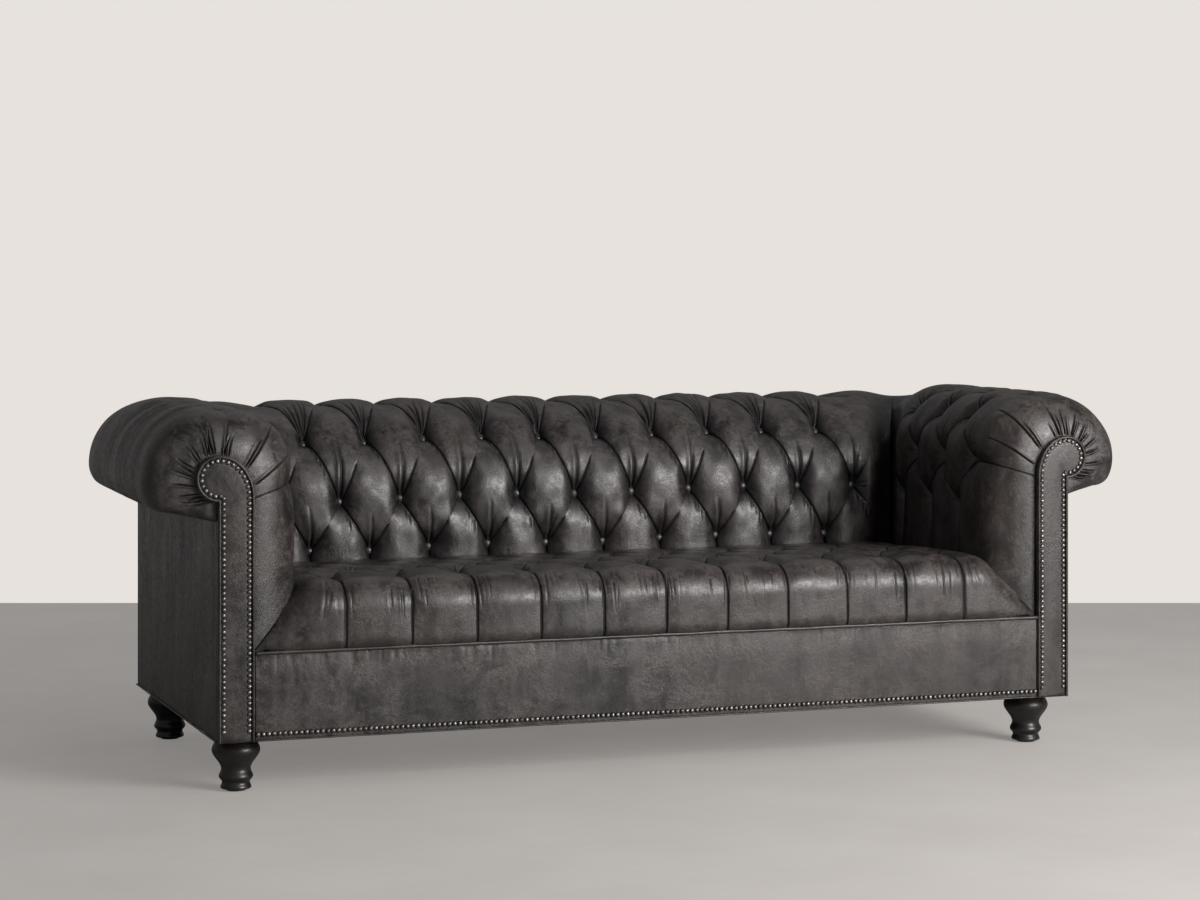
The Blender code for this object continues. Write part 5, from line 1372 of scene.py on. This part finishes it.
# %% Panels
def panel(name, corner, ways, size, cells, pull, seed, node, climb=None, scuff=0.0, puckers=0):
    """A crowned, round-edged leather panel; pull is the depth of its upright drags.

    ways are the directions along it and out of it, and size its length, height and depth.
    climb gives how much higher its top is at each place along it, scuff how much more its
    top edge is worn, and puckers how many short tucks hang from that edge.
    """
    chance, (wide, tall, thick) = np.random.default_rng(seed), size
    corner, across, out = [np.array(way, float) for way in (corner, *ways)]
    grids = np.meshgrid(*[(spread(n) + 1) / 2 for n in cells])
    s, t = [share * (1 - 2e-9) + 1e-9 for share in grids]
    edge = np.minimum(np.minimum(s, 1 - s) * wide, np.minimum(t, 1 - t) * tall)
    drags, tucks = np.zeros(s.shape), np.zeros(s.shape)
    for _ in range(14):
        centre, width = chance.uniform(0, wide), chance.uniform(0.006, 0.03)
        lean, reach = chance.uniform(-0.03, 0.03), chance.uniform(0.25, 0.9)
        drag = hill(s * wide - centre - lean * (1 - t), width) * smooth(1 - (1 - t) / reach)
        drags += chance.uniform(-1, 1) * drag
    waves = chance.uniform(3, 25, (5, 3)) * (1, 0.8, 1)
    waves = sum(np.sin(s * wide * f + t * tall * g + p) for f, g, p in waves)
    for _ in range(puckers):
        centre, width = chance.uniform(0, wide), chance.uniform(0.003, 0.008)
        reach = chance.uniform(0.02, 0.06)
        tuck = hill(s * wide - centre, width) * smooth(1 - (1 - t) * tall / reach)
        tucks += chance.uniform(0.3, 1) * tuck
    lift = (0.0012 * smooth(edge / 0.05) + pull * drags + 0.00025 * waves) * smooth(edge / 0.012)
    lift -= 0.0010 * np.clip(tucks, 0, 1.2) * smooth(edge / 0.004)
    lift -= 0.003 * (1 - np.clip(edge / 0.003, 0, 1)) ** 2
    height = t * (tall + (climb(s * wide) if climb else 0))
    points = corner + across * (s * wide)[..., None]
    points = points + np.array([0, 0, 1]) * height[..., None] + out * lift[..., None]
    points, index = points.reshape(-1, 3), np.arange(s.size).reshape(s.shape)
    rim = np.concatenate([index[0, :-1], index[:-1, -1], index[-1, :0:-1], index[:0:-1, 0]])
    depth = points[rim] @ out - (corner @ out - thick)
    behind = points[rim] - depth[:, None] * out
    low = len(points) + np.arange(len(rim))
    sides = np.stack([rim, np.roll(rim, -1), np.roll(low, -1), low], axis=1)
    faces = quads_of(index).tolist() + sides.tolist() + [low.tolist()]
    wear = 0.45 + 0.4 * drags + 0.25 * waves / 3 + scuff * smooth((t - 0.55) / 0.45) + 0.4 * tucks
    points = np.concatenate([points, behind])
    mesh = make_mesh(name, points, faces, wear=smooth(wear).ravel())
    add_object(name, mesh, leather, [node])


def side_climb(y):
    """How much higher a side panel's top is at a place along it, to follow the roll."""
    return ROLL_RISE * draw_up(y + NOSE_FRONT)


RIGHTWARD, BACKWARD, FORWARD = (1, 0, 0), (0, 1, 0), (0, -1, 0)
half, foot = FACING_INNER - GAP, BODY_BOTTOM
size = (2 * half, APRON_TOP - foot, 0.010)
panel(
    "leather_apron", (-half, 0, foot), (RIGHTWARD, FORWARD), size, (900, 60), 0.0006, 61,
    "front_apron", scuff=0.35, puckers=90,
)
tall = facing_outline()[3][-1][1] - 0.020 - foot
size = (BODY_DEPTH - PANEL - GAP - NOSE_FRONT, tall, PANEL - 2 * GAP)
for side, word in SIDES:
    corner, ways = (side * HALF_WIDTH, NOSE_FRONT, foot), (BACKWARD, (side, 0, 0))
    panel(
        f"leather_outside_{word}", corner, ways, size, (160, 110), 0.0007, 65 + side,
        f"outside_arm_{word}", climb=side_climb,
    )
tall = back_line.points[-1][1] + 0.020 + ROLL_RISE - foot
corner, size = (-HALF_WIDTH, BODY_DEPTH, foot), (2 * HALF_WIDTH, tall, PANEL - GAP)
panel(
    "leather_outside_back", corner, (RIGHTWARD, BACKWARD), size, (300, 110), 0.0007, 68,
    "outside_back",
)


# %% Welts along the bottom edges
def edge_welt(name, start, end, up=(0, 1, 0)):
    """A thin cord along the foot of a panel, between two places on the floor plan."""
    r = EDGE_WELT
    ends = [(*place, BODY_BOTTOM + r) for place in (start, end)]
    add_cord(f"edge_welt_{name}", wavy(line(*ends, 200), 0.0003, 71), r, up=up)


off = EDGE_WELT + GAP
for side, word in SIDES:
    x = side * (HALF_WIDTH + off)
    edge_welt(word, (x, NOSE_FRONT), (x, BODY_DEPTH), up=(0, 0, 1))
for name, y, x in (("front", -off, FACING_INNER - GAP), ("back", BODY_DEPTH + off, HALF_WIDTH)):
    edge_welt(name, (-x, y), (x, y))


# %% [markdown]
# ## Legs
#
# Turned legs: a radius for each height, eased between stations by a cosine and turned
# round the upright axis. Heights are shares of the leg's.

# %% Legs
LEG_TOP = BODY_BOTTOM - 2 * GAP - 0.0012
BOLT_HOLE, BOLT_DEEP = 0.0053, 0.045
STATIONS = (
    *((0.041, 1.0), (0.050, 0.765), (0.0305, 0.405)),
    *((0.0355, 0.265), (0.0287, 0.160), (0.032, 0.065)),
)
profile = [(BOLT_HOLE, LEG_TOP - BOLT_DEEP), (BOLT_HOLE, LEG_TOP)]
for (r0, s0), (r1, s1) in zip(STATIONS, STATIONS[1:]):
    ease = (1 - np.cos(np.linspace(0, math.pi, 17)[:-1])) / 2
    profile += list(zip(r0 + (r1 - r0) * ease, np.linspace(s0, s1, 17)[:-1] * LEG_TOP))
profile += [(0.032, 0.065 * LEG_TOP), (0.0316, 0.0055), (0.030, 0.0043)]
radius, height = np.array(profile).T[..., None]
angle = np.linspace(0, 2 * math.pi, 64, endpoint=False)
turned = [radius * np.cos(angle), radius * np.sin(angle), height + 0 * angle]
turned = np.stack(turned, axis=-1)
for side, word in SIDES:
    for end, y in (("front", LEG_FROM_END), ("rear", BODY_DEPTH - LEG_FROM_END)):
        name = f"turned_leg_{end}_{word}"
        mesh = rings_mesh(name, turned + np.array([side * (HALF_WIDTH - LEG_FROM_SIDE), y, 0]))
        add_object(name, mesh, black_wood, [f"leg_{end}_{word}"])
print("leg profile points:", len(profile))

# %% [markdown]
# ## The foam and the hidden frame
#
# The frame's wood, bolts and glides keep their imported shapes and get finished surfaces.
# The foam block is soft, so it is drawn again with its rounded edges.

# %% Foam and frame
FOAM_CLEARANCE, FOAM_ROUND = 0.001, 0.008
foam_low, foam_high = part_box("seat_foam")
shape = bmesh.new()
bmesh.ops.create_cube(shape, size=1.0)
for vertex in shape.verts:
    ends = zip(foam_low, foam_high, vertex.co)
    vertex.co = [(a + b) / 2 + w * (b - a - FOAM_CLEARANCE) for a, b, w in ends]
rounding = {"offset": FOAM_ROUND, "segments": 4, "profile": 0.5, "affect": "EDGES"}
bmesh.ops.bevel(shape, geom=shape.edges[:], **rounding)
mesh = bpy.data.meshes.new("foam_block")
shape.to_mesh(mesh)
shape.free()
mesh.shade_smooth()
add_object("foam_block", mesh, foam, ["seat_foam"])

# %% [markdown]
# Webbing, hessian and the dust cover are thin cloths: one grid for the face, the same grid
# a little behind it, and a rim between them.


# %% Hidden cloth
def thin_shape(surface, behind, held=None):
    """A closed cloth: a grid of points, the same grid moved by `behind`, and their rim."""
    tall, wide = surface.shape[:2]
    quads = quads_of(np.arange(tall * wide).reshape(tall, wide))
    if held is not None:
        quads = quads[held.ravel()]
    used, quads = np.unique(quads, return_inverse=True)
    quads = quads.reshape(-1, 4)
    edges = {tuple(edge) for k in range(4) for edge in quads[:, [k, (k + 1) % 4]].tolist()}
    rim = sorted((a, b) for a, b in edges if (b, a) not in edges)
    face, count = surface.reshape(-1, 3)[used] + (0, MIDDLE_Y, 0), len(used)
    faces = quads.tolist() + (quads[:, ::-1] + count).tolist()
    faces += [[b, a, a + count, b + count] for a, b in rim]
    return np.concatenate([face, face + behind]), faces


def corners_of(node):
    """The lowest and the highest corner of a node's box."""
    return [np.array(corner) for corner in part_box(node)]


def lining(name, node, finish, cells=(70, 50), thick=0.0007):
    """A stretched lining in its node's space, with a little looseness away from its tacks."""
    low, high = corners_of(node)
    thin = int(np.argmin(high - low))
    first, second = [axis for axis in range(3) if axis != thin]
    s, t = np.meshgrid(*[np.linspace(0, 1, n) for n in cells])
    free = smooth(6 * np.minimum(s, 1 - s)) * smooth(6 * np.minimum(t, 1 - t))
    surface = np.empty((*s.shape, 3))
    surface[..., first] = low[first] + s * (high - low)[first]
    surface[..., second] = low[second] + t * (high - low)[second]
    waves = np.sin(31 * s + 9 * t) + np.sin(23 * t - 12 * s)
    surface[..., thin] = (low + high)[thin] / 2 + thick / 2 + 0.0001 * waves * free
    mesh = make_mesh(name, *thin_shape(surface, -thick * np.eye(3)[thin]))
    obj = add_object(name, mesh, finish, [node])


lining("hessian_seat", "seat_hessian", hessian)
lining("hessian_back", "back_hessian", hessian)
for _, word in SIDES:
    lining(f"hessian_arm_{word}", f"arm_hessian_{word}", hessian)


# %% Dust cover
SAG = 0.005
low, high = corners_of("dust_cover")
notch_x = HALF_WIDTH - LEG_FROM_SIDE - LEG_CLEARANCE - GAP
notch_y = LEG_FROM_END + LEG_CLEARANCE + GAP
xs = [low[0], -notch_x, notch_x, high[0]]
ys = [low[1], notch_y - MIDDLE_Y, BODY_DEPTH - notch_y - MIDDLE_Y, high[1]]
xs = chained([line([a], [b], n) for a, b, n in zip(xs, xs[1:], (5, 81, 5))]).ravel()
ys = chained([line([a], [b], n) for a, b, n in zip(ys, ys[1:], (7, 33, 7))]).ravel()
x, y = np.meshgrid(xs, ys)
cell_x, cell_y = [np.abs(a[:-1, :-1] + a[1:, 1:]) / 2 for a in (x, y + MIDDLE_Y - BODY_DEPTH / 2)]
kept = (cell_x <= notch_x) | (cell_y <= BODY_DEPTH / 2 - notch_y)
middle, half = (low + high)[1] / 2, (high - low)[1] / 2
sag = SAG * (1 - (x / high[0]) ** 2) * (1 - ((y - middle) / half) ** 2)
surface = np.stack([x, y, high[2] - 0.0002 - sag], axis=-1)
mesh = make_mesh("dust_cloth", *thin_shape(surface, np.array([0, 0, -0.0008]), kept))
cover = add_object("dust_cloth", mesh, dust_cloth, ["dust_cover"])

# %% Webbing
STRAP, STRAP_THICK, STRAP_WAVE, STRAPS = 0.070, 0.0006, 0.00042, (8, 4)


def webbing_straps():
    """Straps both ways that pass over and under each other along cosine waves."""
    low, high = corners_of("seat_webbing")
    size, middle_z = high - low, (low[2] + high[2]) / 2
    pitches = size[:2] / STRAPS
    points, faces, start = [], [], 0
    for way in (0, 1):
        crossings = STRAPS[1 - way]
        for number in range(STRAPS[way]):
            centre = low[way] + pitches[way] * (number + 0.5)
            t, s = np.meshgrid(np.linspace(0, 1, 24 * crossings + 1), np.linspace(-0.5, 0.5, 5))
            surface = np.empty((*t.shape, 3))
            surface[..., way] = centre + s * STRAP
            surface[..., 1 - way] = low[1 - way] + t * size[1 - way]
            over = np.cos(math.pi * (t * crossings - 0.5 + number)) * (1 if way else -1)
            surface[..., 2] = middle_z + STRAP_WAVE * over + STRAP_THICK / 2
            strap, strap_faces = thin_shape(surface, np.array([0, 0, -STRAP_THICK]))
            points.append(strap)
            faces += [[start + i for i in face] for face in strap_faces]
            start += len(strap)
    return make_mesh("jute_straps", np.concatenate(points), faces)


add_object("jute_straps", webbing_straps(), webbing, ["seat_webbing"])

# %% Finishes of the frame
finishes = {"bolt": steel, "glide": nylon}
finishes.update(dict.fromkeys(("rail", "post", "upright", "stretcher", "block"), timber))
dressed = 0
for name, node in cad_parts.items():
    finish = next((finishes[word] for word in finishes if word in name), None)
    if finish and node.type == "MESH":
        for slot in node.material_slots:
            slot.material = finish
        dressed += 1
print("frame nodes finished:", dressed)

# %% [markdown]
# ## Light
#
# One large soft light in front and to the right, a weaker one on the left, a strip above
# for the crests, a faint sun and a pale floor. The background is pale for the camera, and
# a little of that is in reflections too; the light that it gives is a soft grey.

# %% Floor and lights
mesh = bpy.data.meshes.new("floor")
far_edge, ahead, aside = np.array([[0.89, 2.45], [0.336, 0.942], [0.942, -0.336]])
FLOOR_REACH, FLOOR_CORNERS = 14, ((-1, 1), (1, 1), (1, 0), (-1, 0))
corners = [
    far_edge + FLOOR_REACH * (way * aside - near * ahead) for way, near in FLOOR_CORNERS
]
mesh.from_pydata([(*corner, 0) for corner in corners], [], [(0, 1, 2, 3)])
mesh.materials.append(floor_paint)
new_object("floor", mesh)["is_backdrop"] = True


def soft_light(name, place, target, size, power, colour=(1, 1, 1)):
    """A rectangular lamp, turned to face its target."""
    lamp = bpy.data.lights.new(name, "AREA")
    lamp.shape, lamp.size, lamp.size_y, lamp.energy, lamp.color = "RECTANGLE", *size, power, colour
    obj = new_object(name, lamp)
    obj.location = place
    x, y, z = np.array(target, float) - place
    obj.rotation_euler = (math.atan2(math.hypot(x, y), -z), 0, math.atan2(y, x) - math.pi / 2)


soft_light("key", (2.2, -4.1, 1.70), (0, 0, 0.45), (2.3, 1.7), 190, (1.0, 0.98, 0.97))
soft_light("fill", (-3.2, -4.6, 2.2), (0, 0, 0.4), (2.4, 2.0), 5)
soft_light("top", (0.6, 1.4, 2.9), (0, 0.2, 0.6), (3.0, 0.8), 3)
lamp = bpy.data.lights.new("daylight", "SUN")
lamp.energy, lamp.angle = 0.3, math.radians(40)
new_object("daylight", lamp).rotation_euler = (math.radians(38), math.radians(24), 0)

world = bpy.data.worlds.new("studio")
bpy.context.scene.world = world
world.use_nodes = True
sky = Nodes(world.node_tree)
rays = sky.add("ShaderNodeLightPath").outputs
seen = sky.plus(rays["Is Camera Ray"], sky.times(rays["Is Glossy Ray"], 0.12))
grey_light = sky.add("ShaderNodeBackground", Color=(0.08, 0.08, 0.083, 1))
pale_light = sky.add("ShaderNodeBackground", Color=(0.80, 0.76, 0.72, 1))
mix = sky.add("ShaderNodeMixShader", i0=seen, i1=grey_light.outputs[0], i2=pale_light.outputs[0])
sky.add("ShaderNodeOutputWorld", Surface=mix.outputs[0])
bpy.context.scene.view_settings.view_transform = "Standard"

# %% [markdown]
# ## Done
#
# The box of everything that is drawn, apart from the floor, is measured and printed.

# %% Finish
low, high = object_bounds()
print("dressed box:", [round(x, 3) for x in low], [round(x, 3) for x in high])
